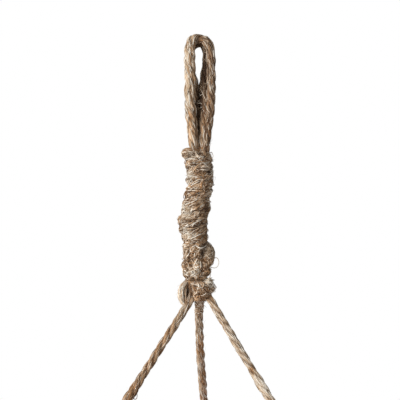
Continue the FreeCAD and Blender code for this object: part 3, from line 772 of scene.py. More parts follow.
# dark marks on the loop are painted shade in its gaps and on the rear cord's inner leg behind the front cord; the
# lighter marks down the left leg are painted light; brown is the fibre's own colour
LOOP_SPOTS = {
    "front": ((198, 42, 2.6, 4.6, 0.8, -0.25, 0.6), (190, 37, 4, 4, 0, 0.22, 0.2), (204.5, 40, 1.6, 6, 0, 0.22, 0.5), (212, 43, 1.5, 6, 0.7, -0.1, 0.1), (190.5, 61, 1.0, 3.4, 0.9, -0.1, 0.8),
              (192.3, 82, 0.9, 3, 0.9, 0, 0.9), (189, 72, 0.8, 2, 0.6, -0.1, 0.8), (208.5, 74, 1.0, 9, 0.8, -0.2, 0.5), (207.4, 68, 1.7, 16, 0.7, -0.15, 0.6), (213.5, 82, 1.0, 4, 0.9, -0.1, 0.3), (212, 96, 0.9, 3.4, 0.8, 0, 0.3), (187.5, 95, 2.5, 16, 0, 0.15, 0.1),
              (186.5, 60, 2.2, 14, 0, 0.15, 0.1), (211, 90, 2.2, 3, 0, 0.25, 0.1), (210.5, 70, 1.4, 5, 0, 0.2, 0.4), (209, 118, 1.2, 10, 0.5, -0.2, 0.8), (194, 112, 1.2, 8, 0.7, -0.1, 0.6), (196, 132, 1.4, 9, 0.8, -0.2, 0.4)),
    "rear": ((205, 68, 5.0, 26, 1.2, -0.30, 0.4), (200, 104, 4.0, 22, 1.0, -0.3, 0.3), (204, 122, 2.0, 16, 0.0, 0.04, 0.9), (198, 43, 3, 5, 0.9, -0.2, 0.7), (200, 134, 1.4, 9, 0.8, -0.2, 0.4)),
}
loops = []
for name, route, seed, phase, d in (("loop_cord_front", LOOP_FRONT, 11, 0.6, 0.0060), ("loop_cord_rear", LOOP_REAR, 12, 1.9, 0.0054)):
    rng = np.random.default_rng(seed)
    g = Gather()
    end = name.split("_")[-1]
    cord(g, spline_line(route), rng, d=d, phase=phase, hairs=900, around=16, step=0.0008, loose=1.4, bundles=19.0, spread=0.24, reach=(0.003, 0.010),
         tone=lambda f, e=end: np.interp(f, LOOP_X, LOOP_Y[e]), extra_painted_shade=lambda f, e=end: np.interp(f, LOOP_X, LOOP_PAINTED_SHADE[e]),
         fat=lambda f, e=end: np.interp(f, (0, 0.12, 0.40, 0.5, 0.60, 0.85, 1), (0.90, 0.82, 0.90, 0.95, 1.16, 1.10, 0.98)) if e == "front" else 1.0 + 0 * f)
    paint_shade_light_and_brown(g, LOOP_SPOTS[end], 0.001 if end == "front" else 0.0075)
    if end == "rear":
        # thin loose fibres across the shaded inner leg
        for _ in range(46):
            y0, x0 = rng.uniform(46, 142), 0.0
            x0 = np.interp(y0, (46, 84, 142), (204, 203, 203)) + rng.uniform(-4.5, 5.0)
            an, long = rng.normal(0.95, 0.45) * rng.choice([-1, 1]), rng.uniform(3.0, 8.5)
            u = np.linspace(-0.5, 0.5, 9)
            bow = rng.uniform(-0.9, 0.9)
            X, Y = x0 + np.cos(an) * long * u + bow * np.cos(3 * u), y0 + np.sin(an) * long * u
            X = np.maximum(X, np.interp(Y, (46, 56, 64, 72, 78, 84, 90), (203, 203.4, 203, 201.2, 200.4, 198.2, 190)))
            hx, hz = px(X, Y)
            depth = np.full(9, rng.uniform(-3.9, -2.0)) + rng.uniform(-0.8, 0.8) * u
            tube(g, np.stack([hx, depth, hz], axis=1) * MM, rng.uniform(0.00006, 0.00011) * np.sin(np.pi * np.linspace(0.06, 0.94, 9)) ** 0.5, rng, around=4, tone=rng.uniform(-0.25, 0.30))
    loops.append(g.piece(name + "_rope", JUTE))
for o, node in zip(loops, ("loop_cord_front", "loop_cord_rear")):
    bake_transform(o)
    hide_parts(node)

# ---------------------------------------------------------------- neck
NECK_X = np.array([  # height and middle of the neck, mm
    (-150, -1.8), (-144, -2.0), (-138, -2.0), (-131, -0.8), (-127, -0.6), (-124, -2.0), (-120, -2.8), (-116, -3.1), (-112, -3.1), (-108, -3.6),
    (-104, -3.4), (-101, -2.6), (-97, -2.5), (-94, -1.9), (-90, -0.9), (-86, 0.0), (-82, 0.1), (-78, 0.5), (-75, 0.1), (-71, -0.7), (-67, -1.6), (-64, -1.9), (-58, -1.0)])


def neck_x(z):
    return np.interp(z, NECK_X[:, 0], NECK_X[:, 1])


core = Gather()
rng = np.random.default_rng(21)
z = np.linspace(-62, -147, 60)
for k, az in enumerate((205.9, 325.9, 85.9)):
    a = math.radians(az)
    line = np.stack([neck_x(z) + 2.7 * math.cos(a), np.full_like(z, 2.7 * math.sin(a)), z], axis=1) * MM
    cord(core, smooth(line, 3), rng, d=0.0050, around=14, step=0.0009, hairs=0)
core_piece = core.piece("core_legs_rope", JUTE, "neck")
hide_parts("core_leg_left", "core_leg_right", "core_leg_rear")

# The binding: a right-handed winding that climbs to the right across the front.
wrap = Gather()
rng = np.random.default_rng(31)
TURNS = 11.35
th = np.linspace(0, TAU * TURNS, 1400)
turn = th / TAU
knots_u = np.arange(0, TURNS + 2)
lift = rng.uniform(-0.7, 0.7, len(knots_u))
grow = rng.uniform(-0.6, 0.5, len(knots_u))
tilt = rng.uniform(-0.2, 1.1, len(knots_u))
tilt[-3:] = -0.7
z = -122.3 + (122.3 - 66.0) * (turn / TURNS) + np.interp(turn, knots_u, lift)
start = math.radians(150)
angle = start + th
z = z + np.interp(turn, knots_u, tilt) * np.cos(angle)
radius = 5.75 + np.interp(turn, knots_u, grow)
radius = radius + 0.9 * np.exp(-((z + 66.5) / 3.5) ** 2) * (np.cos(angle) < 0)
# the end tucks in
radius = radius - 3.2 * np.clip((turn - (TURNS - 0.22)) / 0.22, 0, 1) ** 2 - 3.0 * np.clip((0.2 - turn) / 0.2, 0, 1) ** 2
side = np.cos(angle)
radius = radius + 2.2 * np.exp(-((z + 101.6) / 2.4) ** 2) * np.clip(side, 0, 1) - 0.9 * np.exp(-((z + 94.5) / 2.6) ** 2) * np.clip(side, 0, 1) + 2.5 * np.exp(-((z + 109.8) / 5.2) ** 2) * np.clip(-side, 0, 1) - 1.9 * np.exp(-((z + 92.0) / 6.0) ** 2) * np.clip(-side, 0, 1)
radius = np.convolve(np.pad(radius, 12, mode="edge"), np.ones(25) / 25, mode="valid")
line = np.stack([neck_x(z) + radius * np.cos(angle), radius * np.sin(angle) * 0.98, z], axis=1) * MM


def outward(l):
    v = np.array(l)
    v = np.stack([v[:, 0] - neck_x(v[:, 2] / MM) * MM, v[:, 1], np.zeros(len(v))], axis=1)
    return unit(v)


cord(wrap, line, rng, d=0.0059, frames=outward, squash=(0.84, 1.08), hairs=700, loose=1.7, spread=0.24, around=14, step=0.0009, phase=0.4)
def neck_middle(z):
    return neck_x(z / MM) * MM, 0.0 * z


skin = Skin([wrap], neck_middle, -0.1245, -0.0625)
loose = Gather()
rng = np.random.default_rng(32)
skin.drape(loose, rng, 300, (-0.1230, -0.0660), heading=(0.36, 0.16), length=(0.005, 0.011), curl=0.08, width=(0.00020, 0.00040), tone=-0.02, spread=0.22, lift=0.0002)
skin.drape(loose, rng, 1300, (-0.1235, -0.0645), heading=(0.38, 0.26), curl=0.16, tone=0.04, spread=0.24, warm=(0.2, 1.5))
skin.drape(loose, rng, 620, (-0.1235, -0.0850), heading=(0.20, 0.6), length=(0.002, 0.006), curl=0.35, tone=0.0, spread=0.24, warm=(0.4, 1.8))
skin.drape(loose, rng, 260, (-0.1225, -0.0640), heading=(0.3, 0.7), length=(0.004, 0.009), curl=0.3, width=(0.00005, 0.00010), tone=0.30, lift=0.0004)
# dark marks are painted shade in the gaps between turns and down the shaded right side; the lighter marks down the left
# side are painted light; brown is the fibre's own colour
NECK_SPOTS = (
    (197, 205, 18, 48, 0, 0, 0.95),
    (196, 203.5, 7.0, 2.4, 0.30, -0.16, 1.0), (199, 208, 2.2, 1.2, 1.0, -0.4, 0.4), (206, 207, 2.0, 4.0, 0.8, -0.3, 0.5), (202, 223.5, 5.0, 3.2, 0.6, -0.26, 0.8), (194, 227, 3, 1.4, 0.7, -0.2, 0.5), (200, 196, 4, 2.0, 0.35, -0.1, 0.9), (206, 180, 2.0, 3.0, 0.6, -0.25, 0.4),
    (209, 172, 1.8, 2.2, 1.0, -0.3, 0.2), (204, 169, 2.5, 1.2, 0.6, -0.1, 0.5), (205, 208, 3.6, 2.4, 0.95, -0.35, 0.6), (200, 211, 2.2, 1.6, 0.95, -0.3, 0.2), (197, 226, 2.4, 1.5, 0.8, -0.25, 0.4), (204, 225, 3.0, 1.4, 0.6, -0.2, 0.9), (196, 205, 7, 2.2, 0.35, -0.12, 1.0),
    (207, 188, 3, 5, 0.35, -0.1, 0.6), (200, 234, 5, 4, 0.2, -0.05, 1.0), (206, 218, 3, 5, 0.3, -0.12, 0.8), (192, 190, 4, 1.4, 0.5, -0.1, 0.6), (190, 221, 5, 1.3, 0.45, -0.1, 0.7), (190, 240, 5, 1.3, 0.4, -0.1, 0.7),
    (207, 215, 4.5, 34, 0.12, -0.12, 0.8), (190, 155, 5, 4, 0, 0.18, 0.1), (189, 176, 4, 6, 0, 0.16, 0.1), (187, 212, 5, 7, 0, 0.18, 0.1), (184, 228, 4, 5, 0, 0.16, 0.1), (189, 235, 5, 4, 0, 0.20, 0.2), (186, 200, 3, 2, 0.3, -0.1, 0.8), (188, 167, 3, 1.2, 0.5, -0.1, 0.7), (196, 164, 5, 1.2, 0.4, -0.05, 0.6))
paint_shade_light_and_brown(loose, NECK_SPOTS)
paint_shade_light_and_brown(wrap, NECK_SPOTS)
for way, wide, tone in (([(194, 152), (198, 158), (203, 163), (208, 167)], 0.00015, 0.32), ([(185, 160), (191, 158), (196, 160)], 0.00020, 0.40), ([(188, 188), (195, 183), (203, 180)], 0.00018, 0.40), ([(184, 205), (192, 203), (199, 198)], 0.00020, 0.42),
                        ([(183, 228), (190, 226), (197, 221), (202, 220)], 0.00018, 0.38), ([(193, 210), (200, 207), (206, 202)], 0.00016, 0.35), ([(189, 240), (195, 236), (203, 233)], 0.00020, 0.35)):
    skin.front(loose, rng, [px(*q) for q in way], wide, tone, lift=0.0005)
wrap_piece = wrap.piece("neck_wrap_rope", JUTE, "neck")
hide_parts("neck_wrap")
loose_piece = loose.piece("neck_wrap_fibres", JUTE, "neck")
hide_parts("neck_wrap")

# ---------------------------------------------------------------- knots under the binding
hitch = Gather()
rng = np.random.default_rng(41)


def bend(g, points, **kw):
    cord(g, spline_line(mm(points)), rng, **{"hairs": 300, "loose": 2.0, "spread": 0.24, "step": 0.0008, **kw})


lumpy(hitch, [(-1.5, 0.5, -120.0), (-1.5, 0.5, -127.0), (-1.5, 0.5, -135.0)], (5.4, 5.6, 5.4), rng, tone=-0.15)
# the smooth bight on the right
lumpy(hitch, [(1.0, 3.6, -121.4), (3.7, 1.0, -124.0), (5.3, -1.4, -128.2), (4.4, -2.4, -133.0), (2.0, -1.6, -136.4)], (2.6, 3.2, 4.5, 4.1, 2.8), rng, tone=-0.09, warm=0.0, rough=0.03)
bend(hitch, [(-6.6, -2.6, -120.5), (-7.0, -3.4, -124.5), (-6.2, -3.4, -128.5), (-7.2, -2.2, -132.0)], d=0.0036, tone=-0.10)
bend(hitch, [(-3.6, -4.0, -121.0), (-4.0, -5.4, -124.4), (-2.9, -5.6, -127.4), (-4.0, -4.6, -131.5)], d=0.0040, tone=0.04)
bend(hitch, [(-0.6, -4.4, -121.5), (0.0, -5.6, -125.0), (-1.4, -5.8, -128.6), (-0.2, -5.0, -132.5)], d=0.0038, tone=-0.02)
bend(hitch, [(-8.0, 1.6, -121.5), (-8.2, 0.4, -126.0), (-7.4, 0.4, -131.5)], d=0.0040, tone=0.05)
bend(hitch, [(-5.0, 4.5, -121.5), (-4.6, 5.0, -127.0), (-5.4, 4.2, -133.0)], d=0.0048)
bend(hitch, [(0.0, 5.6, -121.5), (-1.0, 6.2, -127.0), (0.6, 5.6, -133.0)], d=0.0048)

over = Gather()
rng = np.random.default_rng(42)
lumpy(over, [(-1.8, 0.4, -132.0), (-2.0, 0.2, -137.0), (-2.2, 0.2, -143.6)], (4.8, 6.2, 4.6), rng, tone=-0.08)
lumpy(over, [(-2.0, 2.5, -134.4), (-6.4, 1.5, -134.6), (-8.2, -1.6, -135.8), (-6.6, -4.4, -136.8), (-3.6, -5.4, -135.0)], (2.4, 2.7, 2.9, 2.6, 2.0), rng, tone=-0.02, warm=0.9)
lumpy(over, [(0.5, 4.5, -136.6), (-4.6, 3.8, -138.6), (-7.8, 0.6, -140.0), (-7.0, -3.0, -140.8), (-3.4, -5.0, -140.2), (0.2, -5.2, -138.8)], (2.4, 2.7, 2.6, 2.8, 2.8, 2.0), rng, tone=0.08, warm=0.2)
bend(over, [(0.9, -4.6, -132.0), (2.6, -5.6, -135.2), (3.4, -4.8, -138.8), (1.8, -3.2, -142.6)], d=0.0040, tone=-0.08)
bend(over, [(-1.4, -5.0, -131.5), (-0.9, -6.6, -134.8), (-1.8, -6.6, -138.0), (-2.4, -5.2, -142.4)], d=0.0036, tone=0.22)
bend(over, [(3.0, 3.8, -137.0), (4.6, 0.8, -138.6), (4.4, -2.2, -140.2), (1.4, -4.2, -141.6), (-3.0, -4.4, -142.8)], d=0.0044, tone=-0.10)
bend(over, [(-3.0, 5.0, -135.0), (1.0, 5.8, -138.0), (3.4, 4.0, -141.6)], d=0.0048)

skin = Skin([hitch, over], lambda z: (0.0 * z - 0.0018, 0.0 * z), -0.1465, -0.1200)
loose = Gather()
rng = np.random.default_rng(43)
skin.drape(loose, rng, 46, (-0.1335, -0.1220), heading=(1.3, 0.5), angle=(3.3, 5.0), curl=0.30, length=(0.004, 0.008), width=(0.00022, 0.00042), tone=0.0, spread=0.26, lift=0.0006)
skin.drape(loose, rng, 420, (-0.1345, -0.1215), heading=(1.35, 0.5), angle=(3.3, 5.0), curl=0.5, tone=0.02, spread=0.22)
skin.drape(loose, rng, 800, (-0.1360, -0.1210), heading=(0.95, 0.35), angle=(5.0, 6.9), curl=0.2, width=(0.00010, 0.00020), tone=-0.10, spread=0.22, lift=0.0001, warm=(0.0, 0.5))
skin.drape(loose, rng, 420, (-0.1345, -0.1215), heading=(1.2, 0.6), angle=(0.3, 3.3), curl=0.4)
# dark marks are painted shade in the knots' gaps; brown is the fibre's own colour
KNOT_SPOTS = (
    (199, 262, 18, 22, 0, 0, 1.05),
    (189, 252, 1.2, 3.4, 1.0, -0.3, 0.7), (202, 252, 1.3, 5, 0.9, -0.25, 0.3), (203, 246, 3.5, 1.4, 0.8, -0.2, 0.1), (196, 254, 0.8, 2.4, 0.7, -0.1, 0.8), (202, 263.5, 1.5, 2.4, 0.95, -0.3, 0.5), (207, 275, 2.4, 2.0, 0.9, -0.25, 0.5), (204, 271, 1.4, 2.2, 0.7, -0.2, 0.8),
    (191, 265, 1.3, 2.2, 0.95, -0.3, 0.6), (187, 264, 4.5, 4, 0.2, -0.05, 1.0), (205, 268, 3, 3, 0.2, -0.05, 0.9), (195, 272, 6, 3.4, 0, 0.14, 0.2), (187, 273, 4, 3, 0, 0.06, 0.3), (198, 262, 2.4, 3, 0, 0.1, 0.3), (194, 278.6, 6, 0.9, 0.8, -0.15, 0.6),
    (208, 252, 5, 6, 0.1, -0.06, 0.0), (189, 258.5, 3, 1.2, 0.6, -0.1, 0.6), (196, 257.6, 3, 0.9, 0.6, 0, 0.6))
paint_shade_light_and_brown(loose, KNOT_SPOTS)
for way, wide, tone in (([(195, 244.5), (198.5, 248), (202.5, 247.6), (207, 244.4)], 0.00034, 0.60), ([(191, 250), (190, 255), (187, 257.5)], 0.00020, 0.40), ([(196, 250), (194, 254), (195, 258)], 0.00022, 0.42)):
    skin.front(loose, rng, [px(*q) for q in way], wide, tone, lift=0.0009)
hitch_piece, hitch_loose = hitch.piece("half_hitch_rope", JUTE, "neck"), loose.piece("half_hitch_fibres", JUTE, "neck")
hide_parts("half_hitch")
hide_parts("half_hitch")

loose = Gather()
rng = np.random.default_rng(44)
skin.drape(loose, rng, 110, (-0.1430, -0.1330), heading=(1.0, 0.8), curl=0.34, length=(0.004, 0.009), width=(0.00020, 0.00040), tone=-0.02, spread=0.21, lift=0.0005)
skin.drape(loose, rng, 1200, (-0.1440, -0.1325), heading=(0.9, 0.8), curl=0.42, length=(0.0025, 0.007), tone=-0.03, spread=0.21, warm=(0.4, 1.7))
skin.drape(loose, rng, 300, (-0.1435, -0.1365), heading=(1.1, 0.5), angle=(3.6, 5.1), curl=0.4, tone=0.06, width=(0.00009, 0.0002), warm=(0.4, 1.2))
skin.drape(loose, rng, 160, (-0.1380, -0.1320), heading=(0.4, 0.9), angle=(3.2, 4.3), curl=0.6, tone=-0.05, width=(0.00009, 0.0002), warm=(0.6, 1.0))
paint_shade_light_and_brown(loose, KNOT_SPOTS)
for way, wide, tone in (([(198.4, 255.6), (196.4, 260.6), (193.4, 266.4)], 0.00028, 0.40), ([(183, 262), (187.5, 261), (190, 265), (187, 269), (183.5, 268)], 0.00026, 0.14), ([(199, 258), (201.5, 264), (200, 270)], 0.00022, 0.26), ([(206.5, 262), (205, 267), (207, 272)], 0.00022, 0.22),
                        ([(192, 277), (196, 274), (201, 273.5)], 0.00020, 0.30), ([(184, 273), (189, 275), (192, 278)], 0.00022, 0.38)):
    skin.front(loose, rng, [px(*q) for q in way], wide, tone, lift=0.0007)
# a stray curl that stands out on the right
curl = [(209, 266.5), (212, 267.4), (215, 268), (217.8, 266.2), (219, 262.4), (218, 258.6), (215.9, 257.0), (214.0, 258.6)]
tube(loose, spline_line([(px(*q)[0] * MM, -0.0030, px(*q)[1] * MM) for q in curl]), 0.00026, rng, around=6, tone=0.25, fray=0.6)
over_piece, over_loose = over.piece("overhand_knot_rope", JUTE, "neck"), loose.piece("overhand_knot_fibres", JUTE, "neck")
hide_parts("overhand_knot")
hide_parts("overhand_knot")

# ---------------------------------------------------------------- crown knot
crown = Gather()
rng = np.random.default_rng(51)
lumpy(crown, [(-2.0, 0.4, -143.0), (-1.4, 0.4, -149.0), (-1.0, 0.4, -156.4)], (4.2, 4.8, 3.0), rng, tone=-0.15, warm=0.9)
lumpy(crown, [(-5.4, -1.6, -148.2), (-2.4, -4.6, -148.6), (1.6, -5.0, -149.6), (5.4, -3.6, -150.6), (7.0, -0.6, -150.8), (4.6, 2.8, -150.0)], (1.6, 2.6, 2.9, 2.7, 2.4, 1.8), rng, tone=-0.12, warm=1.0)
lumpy(crown, [(2.0, -2.0, -146.6), (5.2, -2.6, -146.4), (7.6, -2.4, -146.8)], (2.2, 2.9, 2.6), rng, tone=0.12, warm=0.1)
lumpy(crown, [(-2.8, -4.0, -151.0), (-0.6, -4.8, -153.4), (-0.6, -3.0, -157.4)], (2.4, 2.8, 2.2), rng, tone=-0.10, warm=0.9)
lumpy(crown, [(-4.2, -3.8, -150.2), (-0.8, -5.2, -151.8), (2.6, -4.4, -153.2), (3.4, -2.4, -155.4)], (2.0, 2.5, 2.5, 1.8), rng, tone=-0.02, warm=1.0)
lumpy(crown, [(-5.4, 2.6, -143.6), (-1.4, 4.6, -143.4), (3.4, 3.0, -143.8)], (1.8, 2.1, 1.8), rng, tone=-0.04, warm=0.6)
lumpy(crown, [(-2.8, 4.2, -146.0), (1.6, 4.8, -148.8), (3.8, 2.8, -152.6), (0.0, 2.0, -156.0)], (2.2, 2.6, 2.4, 1.8), rng, tone=-0.04, warm=0.6)
skin = Skin([crown], lambda z: (0.0 * z - 0.0012, 0.0 * z), -0.1600, -0.1430)
loose = Gather()
rng = np.random.default_rng(52)
skin.drape(loose, rng, 80, (-0.1560, -0.1450), heading=(0.5, 0.9), curl=0.38, angle=(4.1, 8.4), length=(0.004, 0.008), width=(0.00018, 0.00036), tone=-0.05, spread=0.26, lift=0.0006, warm=(0.4, 1.0))
skin.drape(loose, rng, 1200, (-0.1570, -0.1445), heading=(0.4, 0.9), curl=0.45, angle=(4.15, 8.4), length=(0.0025, 0.007), tone=0.03, spread=0.20, warm=(0.9, 1.9))
skin.drape(loose, rng, 260, (-0.1560, -0.1445), heading=(1.4, 0.5), curl=0.4, angle=(2.1, 4.15), tone=0.0, spread=0.22)
skin.drape(loose, rng, 420, (-0.1490, -0.1437), heading=(1.0, 0.6), curl=0.4, angle=(5.45, 6.9), length=(0.002, 0.005), width=(0.0001, 0.00022), tone=0.20, spread=0.21, lift=0.0005, warm=(0.0, 0.3))
# dark marks are painted shade in the crown's gaps; brown is the fibre's own colour
CROWN_SPOTS = ((199, 291, 16, 12, 0.0, 0.0, 1.5), (195, 286, 2.0, 1.2, 0.9, -0.3, 0.5), (204, 286.5, 1.2, 1.0, 0.9, -0.3, 0.5), (209, 292, 4, 1.3, 0.5, -0.15, 0.8), (199, 291, 7, 6, 0.0, 0.0, 1.6), (205, 296, 2.4, 1.2, 0.5, -0.15, 0.7), (209, 289, 4, 3, 0.0, -0.12, 1.0), (196, 281.5, 6, 0.9, 0.6, -0.1, 0.8), (208, 281.5, 4.5, 2.8, 0, 0.12, 0.1), (190, 290, 1.4, 6, 0.9, -0.3, 0.6))
paint_shade_light_and_brown(loose, CROWN_SPOTS)
paint_shade_light_and_brown(crown, CROWN_SPOTS)
for way, wide, tone in (([(188, 283), (193, 283.4), (198, 285), (203, 288.4), (208, 287.4)], 0.00020, 0.25), ([(196, 290), (199, 287), (203, 287)], 0.00016, 0.2), ([(192, 286), (194, 292), (199, 296)], 0.00016, 0.12)):
    skin.front(loose, rng, [px(*q) for q in way], wide, tone, lift=0.0007)
# two strands that stand off on the left, with a hollow behind them
bend(crown, [(-5.4, 0.6, -144.0), (-9.6, -1.2, -147.2), (-11.9, -2.0, -151.2), (-12.0, -2.4, -155.4), (-10.2, -2.4, -159.8), (-8.6, -3.0, -162.0)], d=0.0029, tone=0.30, lay=0.07, loose=2.6, hairs=2200, fat=lambda f: 0.8 + 0.25 * np.sin(np.pi * f) ** 2 + 0.30 * np.exp(-((f - 0.72) / 0.14) ** 2))
bend(crown, [(-5.6, -2.4, -146.0), (-5.7, -3.6, -149.6), (-5.4, -3.8, -153.6), (-6.8, -3.4, -157.4), (-8.0, -3.0, -160.4)], d=0.0022, tone=0.02, lay=0.05, hairs=700)
bend(crown, [(-7.6, -1.0, -147.0), (-9.0, -2.0, -151.0), (-8.6, -3.0, -155.0), (-8.4, -3.0, -160.0)], d=0.0011, tone=0.05, lay=0.05)
bend(crown, [(-6.4, 2.6, -145.6), (-9.0, 1.4, -149.6), (-9.2, 1.0, -155.0), (-7.4, 0.6, -160.0)], d=0.0052)
# painted shadow in the hollow behind the two standing strands, over a browner patch
paint_shade_light_and_brown(crown, ((188.5, 290, 5.0, 9, 0.0, 0.0, 0.9), (188.6, 290.5, 1.5, 6.5, 1.0, -0.3, 0.5)))
# the short frayed end beside the crown, with brown at its root
fibres(loose, mm([(5.0, -3.4, -146.4)])[0], (1.0, -0.45, 0.0), rng, 230, 0.60, 0.0026, radius=0.00021, tone=0.42, foot=0.0022, curl=0.9)
fibres(loose, mm([(5.6, -3.0, -150.6)])[0], (1.0, -0.3, -0.05), rng, 150, 0.7, 0.0025, radius=0.00017, tone=0.05, foot=0.0022, curl=0.9)
crown_piece, crown_loose = crown.piece("crown_knot_rope", JUTE, "crown"), loose.piece("crown_knot_fibres", JUTE, "crown")
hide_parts("crown_knot")
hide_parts("crown_knot")

# ---------------------------------------------------------------- suspension cords
AZ = {"rear": 85.9, "left": 205.9, "right": 325.9}
RIM = {k: polar(0.1, a, -0.289) for k, a in AZ.items()}
TAUT = {
    "left": ((0.0, 0.0, 0.0), (0.20, 0.5, 0.3), (0.47, -0.4, 0.0), (0.76, 0.3, -0.4), (1.0, 0.0, 0.0)),
    "right": ((0.0, 0.0, 0.0), (0.22, -0.3, 1.0), (0.50, 0.4, 2.4), (0.74, 0.0, 1.6), (1.0, 0.0, 0.0)),
    "rear": ((0.0, 0.0, 0.0), (0.19, 1.3, -1.2), (0.46, 0.9, -0.4), (0.75, -0.3, 0.3), (1.0, 0.0, 0.0)),
}
HEAD = {"left": np.array([-0.0040, -0.0012, -0.1550]), "right": np.array([0.0046, -0.0016, -0.1536]), "rear": np.array([-0.0004, 0.0024, -0.1555])}
# the rear cord's tone is raised as painted light, against the shade it hangs in behind the others
TONE = {"left": 0.01, "right": 0.09, "rear": 0.13}
FAT = {"left": ((0, 0.10, 0.34, 0.42, 0.50, 1), (0.92, 0.98, 1.0, 1.14, 1.20, 1.08)), "right": ((0, 0.35, 0.385, 0.42, 0.47, 1), (0.94, 0.96, 1.12, 1.08, 1.0, 1.0)), "rear": ((0, 0.06, 1), (1.12, 1.0, 1.0))}
# dark marks are painted shade under the crown and at the small knot on the left cord
CORD_SPOTS = (
    (240, 348, 26, 60, 0, 0.0, 0.12), (262, 386, 12, 12, 0, 0.05, 0.0),
    (150, 361, 4, 6, 0, -0.10, 1.0), (163, 336, 3, 5, 0, -0.05, 0.9), (176, 318, 2, 5, 0, 0.12, 0.1), (184, 307, 3, 3, 0, 0.14, 0.1), (134, 388, 4, 8, 0.1, -0.12, 1.0), (129, 393, 1.5, 4, 0.8, -0.2, 0.5), (203, 388, 3, 5, 0, -0.08, 1.0), (199, 352, 3, 8, 0, -0.05, 1.0),
    (199, 330, 3, 6, 0, 0.06, 0.3), (200, 370, 2, 4, 0, 0.08, 0.3), (263, 384, 4, 6, 0, 0.25, 0.0), (262, 377, 2, 1.4, 0, 0.35, 0.0), (227, 331, 3, 6, 0, 0.08, 0.2), (251, 366, 2.4, 4, 0, -0.14, 1.0), (240, 349, 2, 5, 0, 0.18, 0.0), (208.5, 297, 3, 3.5, 0.9, -0.25, 0.5),
    (199, 300, 4, 2.5, 0.5, -0.15, 0.8), (187, 302, 3, 2, 0.4, -0.1, 0.6))
for i, k in enumerate(("left", "right", "rear")):
    a = math.radians(AZ[k])
    side, out = np.array([-math.sin(a), math.cos(a), 0]), np.array([math.cos(a), math.sin(a), 0])
    route = [HEAD[k] + (RIM[k] - HEAD[k]) * f + side * s * MM + out * o * MM for f, s, o in TAUT[k]]
    line = spline_line(route)
    g = Gather()
    rng = np.random.default_rng(60 + i)
    cord(g, line, rng, hairs=900, tone=TONE[k], phase=(0.5, 0.2, 2.4)[i], around=16, step=0.0008, fat=lambda f, k=k: np.interp(f, *FAT[k]))
    paint_shade_light_and_brown(g, CORD_SPOTS, 0.2)
    if k == "rear":
        over = Skin([g], lambda z: (-0.0004 + 0 * z, 0.0024 + 0.74 * (-0.1555 - z)), -0.1700, -0.1545)
        over.drape(g, rng, 320, (-0.1655, -0.1570), heading=(-1.05, 0.7), angle=(3.2, 6.2), curl=0.5, length=(0.002, 0.005), width=(0.00012, 0.00026), tone=0.06, spread=0.22, lift=0.00010, warm=(0.4, 1.4))
        # a frayed end that hangs beside this cord
        hx, hz = px(202.0, 304)
        fibres(g, (hx * MM, 0.0042, hz * MM), (0.04, 0.72, -1.0), rng, 50, 0.34, 0.0036, radius=0.00018, tone=0.10, foot=0.0008, curl=0.5)
        fibres(g, (px(203, 302)[0] * MM, 0.0036, px(203, 302)[1] * MM), (0.45, 0.4, -0.6), rng, 30, 0.6, 0.0014, radius=0.00016, tone=0.15, foot=0.0009)
    if k == "left":
        knot = [(134.5, 386), (136.8, 388), (138.3, 391), (138.0, 395), (135.8, 396.6), (134.0, 394)]
        y = float(np.interp(-0.2137, line[::-1, 2], line[::-1, 1]))
        tube(g, spline_line([(px(*q)[0] * MM, y - 0.0016, px(*q)[1] * MM) for q in knot]), 0.00022, rng, around=5, tone=-0.35, fray=0.2)
    o = g.piece("suspension_cord_%s_rope" % k, JUTE, "net")
    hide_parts("suspension_cord_" + k)

# ---------------------------------------------------------------- knots of the net
SIDE_AZ = {"front": 265.9, "rear_left": 145.9, "rear_right": 25.9}
SIDE = {k: polar(0.0815, a, -0.345) for k, a in SIDE_AZ.items()}


def lump(name, node, centre, azimuth, height, radius, body, seed, d=0.0048):
    """A drawn-up overhand knot of two cords: two sloping turns that cross in front, and one over them."""
    rng = np.random.default_rng(seed)
    g = Gather()
    a = math.radians(azimuth)
    out, side, up = np.array([math.cos(a), math.sin(a), 0]), np.array([-math.sin(a), math.cos(a), 0]), np.array([0, 0, 1.0])
    r, hh = radius - d / 2, height / 2 - d / 2

    def place(points):
        return spline_line([centre + out * (p[0] * r) + side * (p[1] * r) + up * (p[2] * hh) for p in points])

    cord(g, place([(0, 0, 1.1), (0.7, -0.5, 0.85), (1.0, 0.1, 0.45), (0.65, 0.95, 0.0), (-0.4, 1.0, -0.3), (-1.0, 0.0, -0.25), (-0.5, -0.95, 0.0), (0.5, -0.9, -0.3), (0.9, -0.1, -0.75), (0.2, 0.3, -1.2)]), rng, d=d, hairs=500, around=16, step=0.0008)
    cord(g, place([(0, 0.2, 1.1), (0.2, 0.7, 0.8), (0.85, 0.5, 0.6), (1.05, -0.4, 0.15), (0.3, -1.05, 0.1), (-0.7, -0.8, 0.35), (-1.0, 0.3, 0.3), (-0.1, 1.05, -0.1), (0.85, 0.65, -0.5), (0.5, -0.3, -1.0), (0, -0.3, -1.25)]), rng, d=d, hairs=500, around=16, step=0.0008)
    cord(g, place([(0.0, 0.0, 1.0), (-0.2, 0.1, 0.4), (0.1, -0.1, -0.4), (0.0, 0.0, -1.1)]), rng, d=d * 1.25, around=12, step=0.001)
    o = g.piece(name, JUTE, body)
    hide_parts(node)
    return o


for i, k in enumerate(("left", "right", "rear")):
    lump("rim_knot_%s_rope" % k, "rim_knot_" + k, RIM[k], AZ[k], 0.0185, 0.0076, "net", 70 + i)
for i, k in enumerate(("front", "rear_left", "rear_right")):
    lump("side_knot_%s_rope" % k, "side_knot_" + k, SIDE[k], SIDE_AZ[k], 0.0160, 0.0070, "net", 74 + i)

